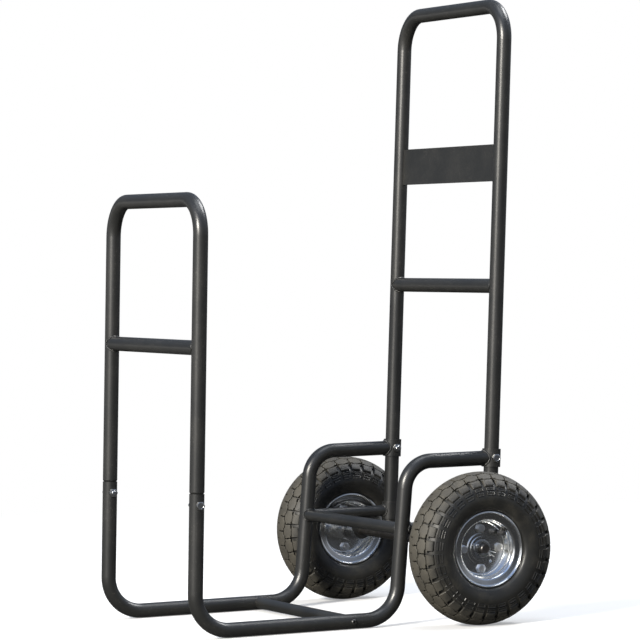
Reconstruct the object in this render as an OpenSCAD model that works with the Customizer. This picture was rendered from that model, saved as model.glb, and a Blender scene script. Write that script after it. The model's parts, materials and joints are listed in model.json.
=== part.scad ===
// Two-wheeled tubular log cart: a bent-tube cradle with a plug-in front hoop,
// a tall handle held in sleeves, and two pneumatic wheels on split steel rims.
// +Z is up, +Y points to the handle end, +X to the right-hand side seen from the front.
// The origin lies on the floor, in the middle of the cart's outer box.

/* [Tubes] */
// Outside diameter of the main tube
tube_od = 25.4; // [21:0.1:31]
// Wall of the main tube
tube_wall = 1.6; // [1.2:0.1:2.5]
// How much slimmer the hoop's and the handle's cross tubes are than the main tube
cross_slim = 0.4; // [0.2:0.1:5]
// Outside diameter of the cradle's cross tubes and stays
thin_od = 20; // [16:0.5:24]
// Wall of the cradle's cross tubes and stays
thin_wall = 1.5; // [1.2:0.1:2.5]
// Loss of wall, inside and out, where a tube is drawn round a bend
bend_thinning = 0.02; // [0.01:0.01:0.1]

/* [Cradle] */
// Distance between the centre lines of the two sides
frame_w = 380; // [300:1:460]
// Front corner to rear corner of a floor rail, along its centre line
bed_depth = 372; // [300:1:450]
// Height of the raised rails' centre line above the floor
raised_h = 278; // [240:1:340]
// Backward lean of the front uprights, in degrees
front_lean = 2.2; // [0:0.1:5]
// Backward lean of the rear uprights, in degrees
rear_lean = 6; // [0:0.5:9]
// Centre-line radius of the floor bends
floor_bend_r = 60; // [50:1:75]
// Centre-line radius of the bend into a raised rail
step_bend_r = 50; // [40:1:62]
// Front corner to the bolted floor cross tube
floor_bar_setback = 288; // [150:1:300]

/* [Front hoop] */
// Length of the front uprights, from the floor rail to the top bar
hoop_len = 719; // [560:1:880]
// Height of the hoop's cross tube, along the upright
hoop_bar_at = 472; // [400:1:500]
// Height of the joint between hoop and side rail, along the upright
seam_at = 230; // [150:1:280]
// Centre-line radius of the hoop's and handle's bends
hoop_bend_r = 60; // [50:1:80]
// Length of the swaged spigot on each hoop leg
spigot_len = 42; // [35:1:50]
// Joint to the bolt through it
bolt_drop = 19; // [15:1:22]

/* [Handle] */
// Front corner to the handle legs, at the raised rails
handle_setback = 563; // [545:1:680]
// Backward lean of the handle, in degrees
handle_lean = 3.2; // [0:0.1:6]
// Raised rail to the handle's top bar, along the legs
handle_len = 781; // [640:1:940]
// Raised rail to the handle's cross tube, along the legs
handle_bar_at = 296; // [150:1:400]
// Raised rail to the middle of the handle's plate, along the legs
plate_at = 509; // [450:1:560]
// Height of the handle's plate
plate_h = 64; // [40:1:80]
// Thickness of the handle's plate
plate_t = 3; // [2:0.5:5]

/* [Sleeves] */
// Wall of the sleeves that hold the handle legs
sleeve_wall = 3.05; // [2:0.05:5]
// Length of the sleeves
sleeve_len = 31; // [25:1:40]
// Radial clearance of a tube that slides into another
slip = 0.15; // [0.1:0.05:0.3]

/* [Fasteners] */
// Bolts through the uprights and sleeves
bolt_d = 8; // [6:1:10]
// Bolts into the floor cross tube
bar_bolt_d = 6; // [5:1:8]
// Diametral clearance of the bolt holes
hole_clear = 0.4; // [0.2:0.1:0.8]

/* [Axle] */
// Axle diameter
axle_d = 16; // [12:0.5:18]
// Front corner to the axle
axle_setback = 498; // [470:1:600]
// Height of the lower stays above the axle
stay_rise = 34; // [30:1:45]
// Thickness of the axle lugs
lug_t = 5; // [4:0.5:8]
// Rail centre line to the wheel's middle plane
wheel_offset = 75; // [68:1:100]
// Diameter of the cotter pins
cotter_d = 3.2; // [2.5:0.1:5]
// Turn of the cotter pins about the axle, in degrees
cotter_turn = -27; // [-180:1:180]

/* [Tyre] */
// Outside diameter of the tyre
wheel_d = 261; // [215:1:320]
// Width of the tyre
tyre_w = 85; // [78:1:102]
// Height of the tread blocks
tread_h = 6; // [3:0.5:8]
// Tread blocks around the tyre, in each row
tread_pitches = 30; // [24:1:40]
// Thickness of the tyre under the tread
crown_t = 7; // [5:0.5:9]
// Height of the short ribs on the sidewalls
rib_h = 0.8; // [0.4:0.1:1.5]

/* [Rim] */
// Diameter of the rim's bead seat
seat_d = 101.6; // [95:0.1:104]
// Half width between the rim's flanges
seat_half_w = 26.6; // [24:0.1:29]
// Height of the rim's flanges above the bead seat
flange_h = 14; // [10:0.5:16]
// Thickness of the pressed rim halves
rim_t = 2; // [1.5:0.1:2.5]
// Circle of the rim bolts
rim_pcd = 68; // [64:1:74]
// Diameter of the rim bolts
rim_bolt_d = 8; // [6:1:8]

/* [Hub and bearings] */
// Outside diameter of the hub barrel
hub_od = 41; // [39:0.5:44]
// Reach of the hub outside the wheel's middle plane
hub_out = 6.6; // [5:0.1:12]
// Reach of the hub inside the wheel's middle plane
hub_in = 35.6; // [30:0.1:42]
// Outside diameter of the ball bearings
bearing_od = 35; // [34:0.5:36]
// Width of the ball bearings
bearing_w = 11; // [9:0.5:12]
// Balls in each bearing
ball_count = 8; // [6:1:9]

/* [Hidden] */
$fn = 64;

RIGHT = 1;
LEFT = -1;
PAINT = "#26272a";
ZINC = "#b9bcc0";
STEEL = "#8f9398";
RUBBER = "#2b2b2a";

tube_r = tube_od / 2;
tube_bore = tube_od - 2 * tube_wall;
thin_r = thin_od / 2;
cross_od = tube_od - cross_slim;
side_x = frame_w / 2;
wheel_r = wheel_d / 2;
sleeve_bore = tube_od + 2 * slip;
sleeve_od = sleeve_bore + 2 * sleeve_wall;

// The floor rails and the tyres stand on the floor together.
rail_z = tube_r;
axle_z = wheel_r;
stay_z = axle_z + stay_rise;

// The front corner's place centres the cart's outer box on the origin.
front_turn = 90 + front_lean;
front_reach = floor_bend_r * tan(front_turn / 2) - floor_bend_r - tube_r;
front_y = -(front_reach + axle_setback + wheel_r) / 2;
rear_y = front_y + bed_depth;
axle_y = front_y + axle_setback;
handle_y = front_y + handle_setback;
floor_bar_y = front_y + floor_bar_setback;

// Point on the front uprights, at a distance v along them from the floor rail.
function front_at(v) = [front_y + v * sin(front_lean), rail_z + v * cos(front_lean)];
// Point on the handle legs, at a distance v along them from the raised rail.
function handle_at(v) = [handle_y + v * sin(handle_lean), raised_h + v * cos(handle_lean)];
// Depth of the rear uprights' centre line at a height z.
function rear_at(z) = rear_y + (z - rail_z) * tan(rear_lean);

// The handle legs go down through the raised rails' sleeves and the stays' sleeves.
leg_past_sleeve = 4;
leg_drop = (raised_h - stay_z) / cos(handle_lean) + sleeve_len / 2 + leg_past_sleeve;
stay_end_y = handle_y - (raised_h - stay_z) * tan(handle_lean);

// Hexagon and nut proportions of the metric series.
function hex_af(d) = d * 1.625;
function head_h(d) = d * 0.66;
function nut_h(d) = d * 0.8;
// Length of a bolt past its nut.
bolt_end = 3;

// Bearing geometry, from the middle of the race gap outwards and inwards.
ball_share = 0.153;
race_share = 0.7;
pitch_r = (bearing_od + axle_d) / 4;
ball_r = (bearing_od - axle_d) * ball_share;
race_gap = ball_r * race_share;
inner_race_r = pitch_r - race_gap;
outer_race_r = pitch_r + race_gap;
ball_clear = 0.12;
race_proud = 0.5;

washer_t = 2.5;
washer_od = 31;
axle_clear = 0.4;
axle_end = 8;
cotter_gap = 0.6;
wheel_out = hub_out + race_proud + washer_t;
wheel_in = hub_in + race_proud + washer_t;
cotter_z = wheel_out + cotter_d / 2 + cotter_gap;
axle_reach = side_x + wheel_offset + cotter_z + axle_end;

// Tyre section: tread and sidewalls end on one circle as wide as the tyre, and the air
// chamber is a smaller circle between the bead seat and the crown. Where the section is
// taller than the chamber can be wide, both are drawn out by chamber_h.
wall_t = 7;
bead_t = 1;
seat_r = seat_d / 2;
lip_r = seat_r + flange_h;
crown_r = wheel_r - tread_h;
chamber_room = crown_r - crown_t - seat_r - bead_t;
chamber_r = min(chamber_room / 2, tyre_w / 2 - wall_t);
chamber_h = chamber_room - 2 * chamber_r;
chamber_c = crown_r - crown_t - chamber_r;
section_r = tyre_w / 2;
section_c = wheel_r - section_r;
wall_r = section_r - rib_h;
base_r = section_r - tread_h;

/* ---------- shapes ---------- */

module ring(od, id) {
    difference() {
        circle(d = od);
        circle(d = id);
    }
}

function heading(a, b) = atan2(b[1] - a[1], b[0] - a[0]);
function wrap(a) = a > 180 ? a - 360 : (a < -180 ? a + 360 : a);
function turn(p, i) = wrap(heading(p[i], p[i + 1]) - heading(p[i - 1], p[i]));
function setback(p, i, r) =
    i == 0 || i == len(p) - 1 ? 0 : r[i] * tan(abs(turn(p, i)) / 2);

// Quarter-round stretch of tube about the origin, from the plane X = 0 on through
// the angle a: a whole ring, less what lies before its start and past its end.
module bend(r, a, od, id) {
    reach = r + od;
    difference() {
        rotate([0, 0, 180]) rotate_extrude()
            translate([r, 0]) rotate(a > 0 ? 180 : 0)
                ring(od - 2 * bend_thinning, id + 2 * bend_thinning);
        translate([-2 * reach, -reach, -od]) cube([2 * reach, 2 * reach, 2 * od]);
        rotate([0, 0, a]) translate([0, -reach, -od]) cube([2 * reach, 2 * reach, 2 * od]);
    }
}

// Straight run i of a bent tube along +X, then its bend, then the runs that follow.
module tube_run(p, r, od, id, i) {
    run = norm(p[i + 1] - p[i]) - setback(p, i, r) - setback(p, i + 1, r);
    rotate([90, 0, 90]) linear_extrude(run) ring(od, id);
    if (i < len(p) - 2) {
        a = turn(p, i + 1);
        out = a > 0 ? r[i + 1] : -r[i + 1];
        translate([run, out, 0]) {
            bend(r[i + 1], a, od, id);
            rotate([0, 0, a]) translate([0, -out, 0]) tube_run(p, r, od, id, i + 1);
        }
    }
}

// Tube whose centre line runs through the points p in the XY plane, bent at each
// inner point to the centre-line radius r of that point.
module bent_tube(p, r, od, id) {
    translate([p[0][0], p[0][1], 0]) rotate([0, 0, heading(p[0], p[1])])
        tube_run(p, r, od, id, 0);
}

// Cylinder along X, from x0 to x1, through a point [y, z].
module x_rod(d, x0, x1, at) {
    translate([x0, at[0], at[1]]) rotate([0, 90, 0]) cylinder(d = d, h = x1 - x0);
}

// Cylinder on a leaning upright: centre [y, z] at x, length h, centred.
module leaning_rod(d, h, x, at, lean) {
    translate([x, at[0], at[1]]) rotate([-lean, 0, 0]) cylinder(d = d, h = h, center = true);
}

// Cross tube along X between two leaning uprights, its ends cut to their outsides.
module cross_tube(od, wall, at, lean) {
    difference() {
        x_rod(od, -side_x, side_x, at);
        x_rod(od - 2 * wall, -side_x - 1, side_x + 1, at);
        for (s = [LEFT, RIGHT]) leaning_rod(tube_od, 3 * tube_od, s * side_x, at, lean);
    }
}

// Puts a shape drawn in the XY plane upright: X stays, Y climbs along the lean.
module stand(at, lean) {
    translate([0, at[0], at[1]]) rotate([90 - lean, 0, 0]) children();
}

// Puts a shape drawn in the XY plane on one side of the cart: X becomes Y, Y becomes Z.
module on_side(side) {
    translate([side * side_x, 0, 0]) rotate([90, 0, 90]) children();
}

// Bolt along X with its hexagon head outside, on the chosen side.
module cross_bolt(side, d, seat, grip, at) {
    translate([side * side_x, at[0], at[1]]) rotate([0, side * 90, 0]) {
        translate([0, 0, seat]) cylinder(d = hex_af(d) / cos(30), h = head_h(d), $fn = 6);
        translate([0, 0, -grip]) cylinder(d = d, h = grip + seat);
    }
}

// Nut on the inner end of a cross bolt.
module cross_nut(side, d, seat, at) {
    translate([side * side_x, at[0], at[1]]) rotate([0, side * 90, 0])
        translate([0, 0, -seat - nut_h(d)]) difference() {
            cylinder(d = hex_af(d) / cos(30), h = nut_h(d), $fn = 6);
            translate([0, 0, -1]) cylinder(d = d, h = nut_h(d) + 2);
        }
}

/* ---------- cradle ---------- */

module side_rail(side) {
    top = front_at(seam_at);
    path = [[top[0], top[1]], [front_y, rail_z], [rear_y, rail_z],
        [rear_at(raised_h), raised_h], [handle_y, raised_h]];
    color(PAINT) difference() {
        on_side(side) bent_tube(path, [0, floor_bend_r, floor_bend_r, step_bend_r, 0],
            tube_od, tube_bore);
        leaning_rod(sleeve_od, 2 * sleeve_len, side * side_x, [handle_y, raised_h],
            handle_lean);
        x_rod(bolt_d + hole_clear, side * side_x - tube_od, side * side_x + tube_od,
            front_at(seam_at - bolt_drop));
        x_rod(bar_bolt_d + hole_clear, side * side_x - tube_od, side * side_x + tube_od,
            [floor_bar_y, rail_z]);
    }
}

module rear_crossbar() {
    color(PAINT) cross_tube(thin_od, thin_wall, [rear_at(stay_z), stay_z], rear_lean);
}

bar_half = side_x - tube_r;
plug_len = 18;

module floor_crossbar() {
    color(PAINT) difference() {
        x_rod(thin_od, -side_x, side_x, [floor_bar_y, rail_z]);
        x_rod(thin_od - 2 * thin_wall, -side_x - 1, side_x + 1, [floor_bar_y, rail_z]);
        for (s = [LEFT, RIGHT]) translate([s * side_x, floor_bar_y, rail_z])
            rotate([90, 0, 0]) cylinder(d = tube_od, h = 2 * tube_od, center = true);
    }
}

// Threaded plugs welded into the ends of the floor cross tube.
module floor_crossbar_plugs() {
    color(STEEL) for (s = [LEFT, RIGHT]) difference() {
        x_rod(thin_od - 2 * thin_wall, min(s * bar_half, s * (bar_half - plug_len)),
            max(s * bar_half, s * (bar_half - plug_len)), [floor_bar_y, rail_z]);
        x_rod(bar_bolt_d, -side_x, side_x, [floor_bar_y, rail_z]);
    }
}

// Low domed heads outside, threads that end inside the plugs.
module floor_crossbar_bolts() {
    head_d = bar_bolt_d * 1.7;
    crown_d = head_d * 0.7;
    button_h = 2.6;
    depth = plug_len - 2;
    color(PAINT) for (s = [LEFT, RIGHT])
        translate([s * side_x, floor_bar_y, rail_z]) rotate([0, s * 90, 0]) {
            translate([0, 0, tube_r]) cylinder(d1 = head_d, d2 = crown_d, h = button_h);
            translate([0, 0, -tube_r - depth]) cylinder(d = bar_bolt_d, h = tube_od + depth);
        }
}

module rail_sleeve(side) {
    color(PAINT) difference() {
        leaning_rod(sleeve_od, sleeve_len, side * side_x, [handle_y, raised_h], handle_lean);
        leaning_rod(sleeve_bore, sleeve_len + 2, side * side_x, [handle_y, raised_h],
            handle_lean);
        x_rod(bolt_d + hole_clear, side * side_x - sleeve_od, side * side_x + sleeve_od,
            [handle_y, raised_h]);
    }
}

module stay_sleeve(side) {
    color(PAINT) difference() {
        leaning_rod(sleeve_od, sleeve_len, side * side_x, [stay_end_y, stay_z], handle_lean);
        leaning_rod(sleeve_bore, sleeve_len + 2, side * side_x, [stay_end_y, stay_z],
            handle_lean);
    }
}

module stay_rod(side, d) {
    translate([side * side_x, rear_at(stay_z), stay_z]) rotate([-90, 0, 0])
        cylinder(d = d, h = stay_end_y - rear_at(stay_z));
}

module lower_stay(side) {
    color(PAINT) difference() {
        stay_rod(side, thin_od);
        stay_rod(side, thin_od - 2 * thin_wall);
        leaning_rod(tube_od, 3 * tube_od, side * side_x, [rear_at(stay_z), stay_z], rear_lean);
        leaning_rod(sleeve_od, 2 * sleeve_len, side * side_x, [stay_end_y, stay_z],
            handle_lean);
    }
}

// Flat lug under a stay, tapered down to a round end about the axle, and cut back where a
// deeper bed brings the rear upright to it.
module axle_lug(side) {
    end_wall = 7;
    fit = 0.1;
    foot = 32;
    end_r = axle_d / 2 + end_wall;
    flank = end_r - fit;
    lean_in = asin((foot - flank) / norm([foot, stay_rise]));
    color(PAINT) difference() {
        translate([side * side_x - lug_t / 2, axle_y, axle_z]) rotate([90, 0, 90])
            linear_extrude(lug_t) {
                circle(r = end_r);
                polygon([[-foot, stay_rise], [-flank * cos(lean_in), -flank * sin(lean_in)],
                    [flank * cos(lean_in), -flank * sin(lean_in)], [foot, stay_rise]]);
            }
        stay_rod(side, thin_od);
        leaning_rod(tube_od, 3 * tube_od, side * side_x, [rear_at(stay_z), stay_z], rear_lean);
        x_rod(axle_d + fit, -side_x - lug_t, side_x + lug_t, [axle_y, axle_z]);
    }
}

/* ---------- front hoop ---------- */

spigot_d = tube_bore - 2 * slip;
spigot_bore = spigot_d - 2 * tube_wall;
swage_h = 3;
swage_step = 2;

// Swaged leg end, from the bottom of the spigot up to the full tube at height h.
module swaged_leg(h) {
    rotate([-90, 0, 0]) rotate_extrude() polygon([
        [spigot_bore / 2, -spigot_len], [spigot_d / 2, -spigot_len], [spigot_d / 2, 0],
        [tube_r, swage_h], [tube_r, h], [tube_bore / 2, h],
        [tube_bore / 2, swage_h + swage_step], [spigot_bore / 2, swage_step]]);
}

module front_hoop() {
    full_at = 20;
    path = [[-side_x, seam_at + full_at], [-side_x, hoop_len], [side_x, hoop_len],
        [side_x, seam_at + full_at]];
    color(PAINT) difference() {
        stand([front_y, rail_z], front_lean) {
            bent_tube(path, [0, hoop_bend_r, hoop_bend_r, 0], tube_od, tube_bore);
            for (s = [LEFT, RIGHT]) translate([s * side_x, seam_at, 0]) swaged_leg(full_at);
        }
        x_rod(bolt_d + hole_clear, -frame_w, frame_w, front_at(seam_at - bolt_drop));
    }
}

module hoop_crossbar() {
    color(PAINT) cross_tube(cross_od, tube_wall, front_at(hoop_bar_at), front_lean);
}

module hoop_bolts() {
    color(ZINC) for (s = [LEFT, RIGHT]) cross_bolt(s, bolt_d, tube_r,
        tube_r + nut_h(bolt_d) + bolt_end, front_at(seam_at - bolt_drop));
}

module hoop_nuts() {
    color(ZINC) for (s = [LEFT, RIGHT])
        cross_nut(s, bolt_d, tube_r, front_at(seam_at - bolt_drop));
}

/* ---------- handle ---------- */

module handle() {
    path = [[-side_x, -leg_drop], [-side_x, handle_len], [side_x, handle_len],
        [side_x, -leg_drop]];
    color(PAINT) difference() {
        stand([handle_y, raised_h], handle_lean)
            bent_tube(path, [0, hoop_bend_r, hoop_bend_r, 0], tube_od, tube_bore);
        x_rod(bolt_d + hole_clear, -frame_w, frame_w, [handle_y, raised_h]);
    }
}

module handle_crossbar() {
    color(PAINT) cross_tube(cross_od, tube_wall, handle_at(handle_bar_at), handle_lean);
}

module handle_plate() {
    color(PAINT) difference() {
        stand(handle_at(plate_at), handle_lean)
            cube([frame_w, plate_h, plate_t], center = true);
        for (s = [LEFT, RIGHT])
            leaning_rod(tube_od, 2 * plate_h, s * side_x, handle_at(plate_at), handle_lean);
    }
}

// Plugs that close the handle's open legs.
module handle_end_caps() {
    cap_t = 3;
    cap_taper = 3;
    plug = 14;
    color(RUBBER) stand([handle_y, raised_h], handle_lean) for (s = [LEFT, RIGHT])
        translate([s * side_x, -leg_drop, 0]) rotate([-90, 0, 0]) {
            translate([0, 0, -cap_t]) cylinder(d1 = tube_od - cap_taper, d2 = tube_od, h = cap_t);
            cylinder(d = tube_bore - 2 * slip, h = plug);
        }
}

module handle_bolts() {
    color(ZINC) for (s = [LEFT, RIGHT]) cross_bolt(s, bolt_d, sleeve_od / 2,
        sleeve_od / 2 + nut_h(bolt_d) + bolt_end, [handle_y, raised_h]);
}

module handle_nuts() {
    color(ZINC) for (s = [LEFT, RIGHT])
        cross_nut(s, bolt_d, sleeve_od / 2, [handle_y, raised_h]);
}

/* ---------- axle ---------- */

// Wheel frame: X points back, Y up and Z outwards along the axle.
module at_wheel(side) {
    mirror([side < 0 ? 1 : 0, 0, 0])
        translate([side_x + wheel_offset, axle_y, axle_z]) rotate([90, 0, 90]) children();
}

module axle() {
    bevel = 1.2;
    color(STEEL) difference() {
        union() {
            x_rod(axle_d, bevel - axle_reach, axle_reach - bevel, [axle_y, axle_z]);
            for (s = [LEFT, RIGHT]) translate([s * (axle_reach - bevel), axle_y, axle_z])
                rotate([0, s * 90, 0])
                    cylinder(d1 = axle_d, d2 = axle_d - 2 * bevel, h = bevel);
        }
        for (s = [LEFT, RIGHT]) at_wheel(s) rotate([0, 0, cotter_turn])
            translate([0, 0, cotter_z]) rotate([0, 90, 0])
                cylinder(d = cotter_d + hole_clear, h = 2 * axle_d, center = true);
    }
}

module disc(od, id, z0, z1) {
    translate([0, 0, z0]) difference() {
        cylinder(d = od, h = z1 - z0);
        translate([0, 0, -1]) cylinder(d = id, h = z1 - z0 + 2);
    }
}

module axle_spacers() {
    spacer_od = axle_d + 6;
    color(ZINC) for (s = [LEFT, RIGHT]) at_wheel(s)
        disc(spacer_od, axle_d + axle_clear, lug_t / 2 - wheel_offset, -wheel_in);
}

module axle_washers() {
    color(ZINC) for (s = [LEFT, RIGHT]) at_wheel(s) {
        disc(washer_od, axle_d + axle_clear, wheel_out - washer_t, wheel_out);
        disc(washer_od, axle_d + axle_clear, -wheel_in, washer_t - wheel_in);
    }
}

// Half-round wire, flat side down, along X.
module half_wire(d, h) {
    rotate([0, 90, 0]) linear_extrude(h) intersection() {
        circle(d = d);
        translate([-d, -d / 2]) square([d, d]);
    }
}

// Pin along X with a round eye at one end and two legs bent apart at the other, the
// eye and the legs all in the XY plane.
module cotter_pin() {
    past_axle = 1.5;
    head = axle_d / 2 + past_axle;
    eye_r = cotter_d * 0.95;
    eye_d = cotter_d * 1.1;
    leg_d = cotter_d * 0.94;
    leg_root = 1.5;
    leg = 17;
    splay = 10;
    translate([-head, 0, 0]) rotate([0, 90, 0]) cylinder(d = cotter_d, h = 2 * head);
    translate([-head - eye_r, 0, 0]) rotate_extrude()
        translate([eye_r, 0]) circle(d = eye_d);
    for (m = [0, 1]) mirror([0, m, 0]) rotate([-90, 0, 0])
        translate([head - leg_root, 0, 0]) rotate([0, -splay, 0]) half_wire(leg_d, leg);
}

module cotter_pins() {
    color(ZINC) for (s = [LEFT, RIGHT]) at_wheel(s) rotate([0, 0, cotter_turn])
        translate([0, 0, cotter_z]) cotter_pin();
}

/* ---------- bearings ---------- */

// Middle planes of the two bearings in a hub, along the wheel's Z.
bearing_zs = [hub_out - bearing_w / 2, bearing_w / 2 - hub_in];

module at_bearings() {
    for (z = bearing_zs) translate([0, 0, z]) children();
}

module race(r0, r1, w, groove_r) {
    rotate_extrude() difference() {
        translate([r0, -w / 2]) square([r1 - r0, w]);
        translate([pitch_r, 0]) circle(r = groove_r);
    }
}

module bearing_inner_races(side) {
    color(ZINC) at_wheel(side) at_bearings()
        race(axle_d / 2, inner_race_r, bearing_w + 2 * race_proud, ball_r + ball_clear);
}

module bearing_outer_races(side) {
    color(ZINC) at_wheel(side) at_bearings()
        race(outer_race_r, bearing_od / 2, bearing_w, ball_r);
}

module bearing_balls(side) {
    color(ZINC) at_wheel(side) at_bearings()
        for (i = [0 : ball_count - 1]) rotate([0, 0, i * 360 / ball_count])
            translate([pitch_r, 0, 0]) sphere(r = ball_r);
}

module bearing_seals(side) {
    seal_t = 0.8;
    seal_gap = 0.4;
    color(RUBBER) at_wheel(side) at_bearings() for (m = [0, 1]) mirror([0, 0, m])
        disc(2 * outer_race_r, 2 * inner_race_r + seal_gap, bearing_w / 2 - seal_t,
            bearing_w / 2);
}

/* ---------- wheel ---------- */

// Point of the tyre's section at a radius r about its centre, a degrees from the crown.
function section_at(r, a) = [section_c - (a > 90 ? chamber_h : 0) + r * cos(a), r * sin(a)];
function section_arc(r, a0, a1, n) = [for (i = [0 : n]) section_at(r, a0 + (a1 - a0) * i / n)];

// Rows on one half of the tyre: where each starts and ends round the section, in degrees
// from the crown, then its stagger and its length, in pitches.
tread_rows = [[1.2, 19.5, 0.45, 0.92], [21.5, 40, 0, 0.92], [44, 62.5, 0.1, 0.74]];
rib_rows = [[65, 71.5, 0.13, 0.68], [75.5, 83.5, 0.13, 0.68]];
// The floor between the blocks climbs from one of these angles to the wall at the other.
climb = [42, 64];
// The wall starts a little above the rim's lip, and nowhere narrower than the bead's flare.
flare = 8;
wall_start = min(180 - asin((seat_half_w + flare) / wall_r),
    acos(max(-1, (lip_r + 3 - section_c + chamber_h) / wall_r)));

// The beads keep this far from the middle plane on each side, and clear of the flanges.
bead_half_gap = 14;
bead_toe = 2;
bead_toe_h = 6;
bead_clear = 0.3;
heel = 1.8;

// Half of the tyre's outer outline, as [radius, distance from the middle plane].
half_outline = concat(
    [[seat_r, bead_half_gap + bead_toe], [seat_r, seat_half_w - bead_clear - heel],
        [seat_r + heel, seat_half_w - bead_clear], [lip_r - 4, seat_half_w],
        [lip_r + 1, seat_half_w + 3], [lip_r + 2, seat_half_w + flare]],
    section_arc(wall_r, wall_start, climb[1], 8), section_arc(base_r, climb[0], 0, 6));
function flipped(p) = [for (i = [len(p) - 2 : -1 : 0]) [p[i][0], -p[i][1]]];

// The air chamber's ring, made smaller all round by gap.
module chamber(gap) {
    r = chamber_r - gap;
    rotate_extrude() {
        translate([chamber_c, 0]) circle(r = r);
        if (chamber_h > 0) {
            translate([chamber_c - chamber_h, 0]) circle(r = r);
            translate([chamber_c - chamber_h, -r]) square([chamber_h, 2 * r]);
        }
    }
}

module carcass() {
    difference() {
        rotate_extrude() difference() {
            polygon(concat(half_outline, flipped(half_outline)));
            translate([0, -bead_half_gap]) square([seat_r + bead_toe_h, 2 * bead_half_gap]);
        }
        chamber(0);
    }
}

// One block or rib of a row: a sector that stands on the carcass, sunk a little into it.
module block(row, foot_r) {
    sunk = 1;
    step = 360 / tread_pitches;
    rotate([0, 0, row[2] * step]) rotate_extrude(angle = row[3] * step) polygon(concat(
        section_arc(section_r, row[0], row[1], 2),
        [section_at(foot_r - sunk, row[1]), section_at(foot_r - sunk, row[0])]));
}

// Three rows of blocks and two of ribs on each half, one half turned by half a pitch.
module tread() {
    for (m = [0, 1], i = [0 : tread_pitches - 1])
        mirror([0, 0, m]) rotate([0, 0, (i + m / 2) * 360 / tread_pitches]) {
            for (row = tread_rows) block(row, base_r);
            for (row = rib_rows) block(row, wall_r);
        }
}

module tyre(side) {
    color(RUBBER) at_wheel(side) {
        carcass();
        tread();
    }
}

tube_gap = 0.2;

module inner_tube(side) {
    tube_t = 2;
    color("#1f1f1f") at_wheel(side) difference() {
        chamber(tube_gap);
        chamber(tube_t);
    }
}

// Middle line of a pressed rim half, as [radius, distance from the middle plane]: the flat
// disc, its bend into the well, the step up to the bead seat, the flange and the rolled lip.
well_depth = 4;
well_half_w = 17;
seat_from = 19.5;
lip_roll = 6;
well_r = seat_r - well_depth;
rim_path = [[hub_od / 2, rim_t / 2], [well_r - 3.5, rim_t / 2], [well_r - 1.2, rim_t],
    [well_r - 0.4, 2 * rim_t], [well_r + 1, well_half_w], [seat_r - rim_t / 2, seat_from],
    [seat_r - rim_t / 2, seat_half_w - 1.2], [seat_r + 1.2, seat_half_w + 1],
    [lip_r - 4, seat_half_w + 1.6], [lip_r - 1.6, seat_half_w + lip_roll / 2],
    [lip_r - 1, seat_half_w + lip_roll]];

// Polyline p moved sideways by d, with mitred corners.
function normal(p, i) = let (v = p[i + 1] - p[i]) [-v[1], v[0]] / norm(v);
function mitre(p, i, d) =
    let (a = normal(p, max(i - 1, 0)), b = normal(p, min(i, len(p) - 2)), m = a + b)
        p[i] + m * 2 * d / (m * m);
function shifted(p, d) = [for (i = [0 : len(p) - 1]) mitre(p, i, d)];
function reversed(p) = [for (i = [len(p) - 1 : -1 : 0]) p[i]];

bolt_turns = [0, 90, 180, 270];
rim_bolt_end = 2;

valve_turn = 38;
valve_z = 9;
valve_d = 8;
valve_rise = 9;
valve_clear = 0.6;
valve_gap = 1.4;
neck_d = valve_d - 3;
neck_h = 5;
cap_h = 9;
valve_reach = well_r - valve_d / 2 - valve_gap;

module at_rim_bolts() {
    for (a = bolt_turns) rotate([0, 0, a]) translate([rim_pcd / 2, 0, 0]) children();
}

module rim_half() {
    difference() {
        rotate_extrude() polygon(concat(shifted(rim_path, rim_t / 2),
            reversed(shifted(rim_path, -rim_t / 2))));
        at_rim_bolts() cylinder(d = rim_bolt_d + hole_clear, h = 3 * rim_t, center = true);
    }
}

module rim_outer(side) {
    color(ZINC) at_wheel(side) difference() {
        rim_half();
        rotate([0, 0, valve_turn]) translate([valve_reach, 0, valve_z]) rotate([0, 90, 0])
            cylinder(d = valve_d + valve_clear, h = seat_r);
    }
}

module rim_inner(side) {
    color(ZINC) at_wheel(side) mirror([0, 0, 1]) rim_half();
}

// Barrel with a seat for a bearing at each end and a collar on the rim's outer face.
module hub(side) {
    collar_od = 51;
    collar_t = 2.5;
    shoulder = 1.6;
    bore_r = outer_race_r - shoulder;
    color(ZINC) at_wheel(side) rotate_extrude() difference() {
        union() {
            translate([bore_r, -hub_in]) square([hub_od / 2 - bore_r, hub_in + hub_out]);
            translate([bore_r, rim_t]) square([collar_od / 2 - bore_r, collar_t]);
        }
        for (z = bearing_zs) translate([0, z - bearing_w / 2])
            square([bearing_od / 2, bearing_w]);
    }
}

module rim_bolts(side) {
    reach = rim_t + nut_h(rim_bolt_d) + rim_bolt_end;
    color(ZINC) at_wheel(side) at_rim_bolts() {
        translate([0, 0, rim_t])
            cylinder(d = hex_af(rim_bolt_d) / cos(30), h = head_h(rim_bolt_d), $fn = 6);
        translate([0, 0, -reach]) cylinder(d = rim_bolt_d, h = reach + rim_t);
    }
}

module rim_nuts(side) {
    color(ZINC) at_wheel(side) at_rim_bolts()
        translate([0, 0, -rim_t - nut_h(rim_bolt_d)]) difference() {
            cylinder(d = hex_af(rim_bolt_d) / cos(30), h = nut_h(rim_bolt_d), $fn = 6);
            translate([0, 0, -1]) cylinder(d = rim_bolt_d, h = nut_h(rim_bolt_d) + 2);
        }
}

// Rubber stem from the inner tube through the rim's well, turned outwards.
module valve_stem(side) {
    color(RUBBER) at_wheel(side) difference() {
        rotate([0, 0, valve_turn]) translate([valve_reach, 0, valve_z]) {
            rotate([0, 90, 0]) cylinder(d = valve_d, h = chamber_c - chamber_h - valve_reach);
            sphere(d = valve_d);
            cylinder(d = valve_d, h = valve_rise);
            cylinder(d = neck_d, h = valve_rise + neck_h);
        }
        chamber(tube_gap);
    }
}

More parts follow.
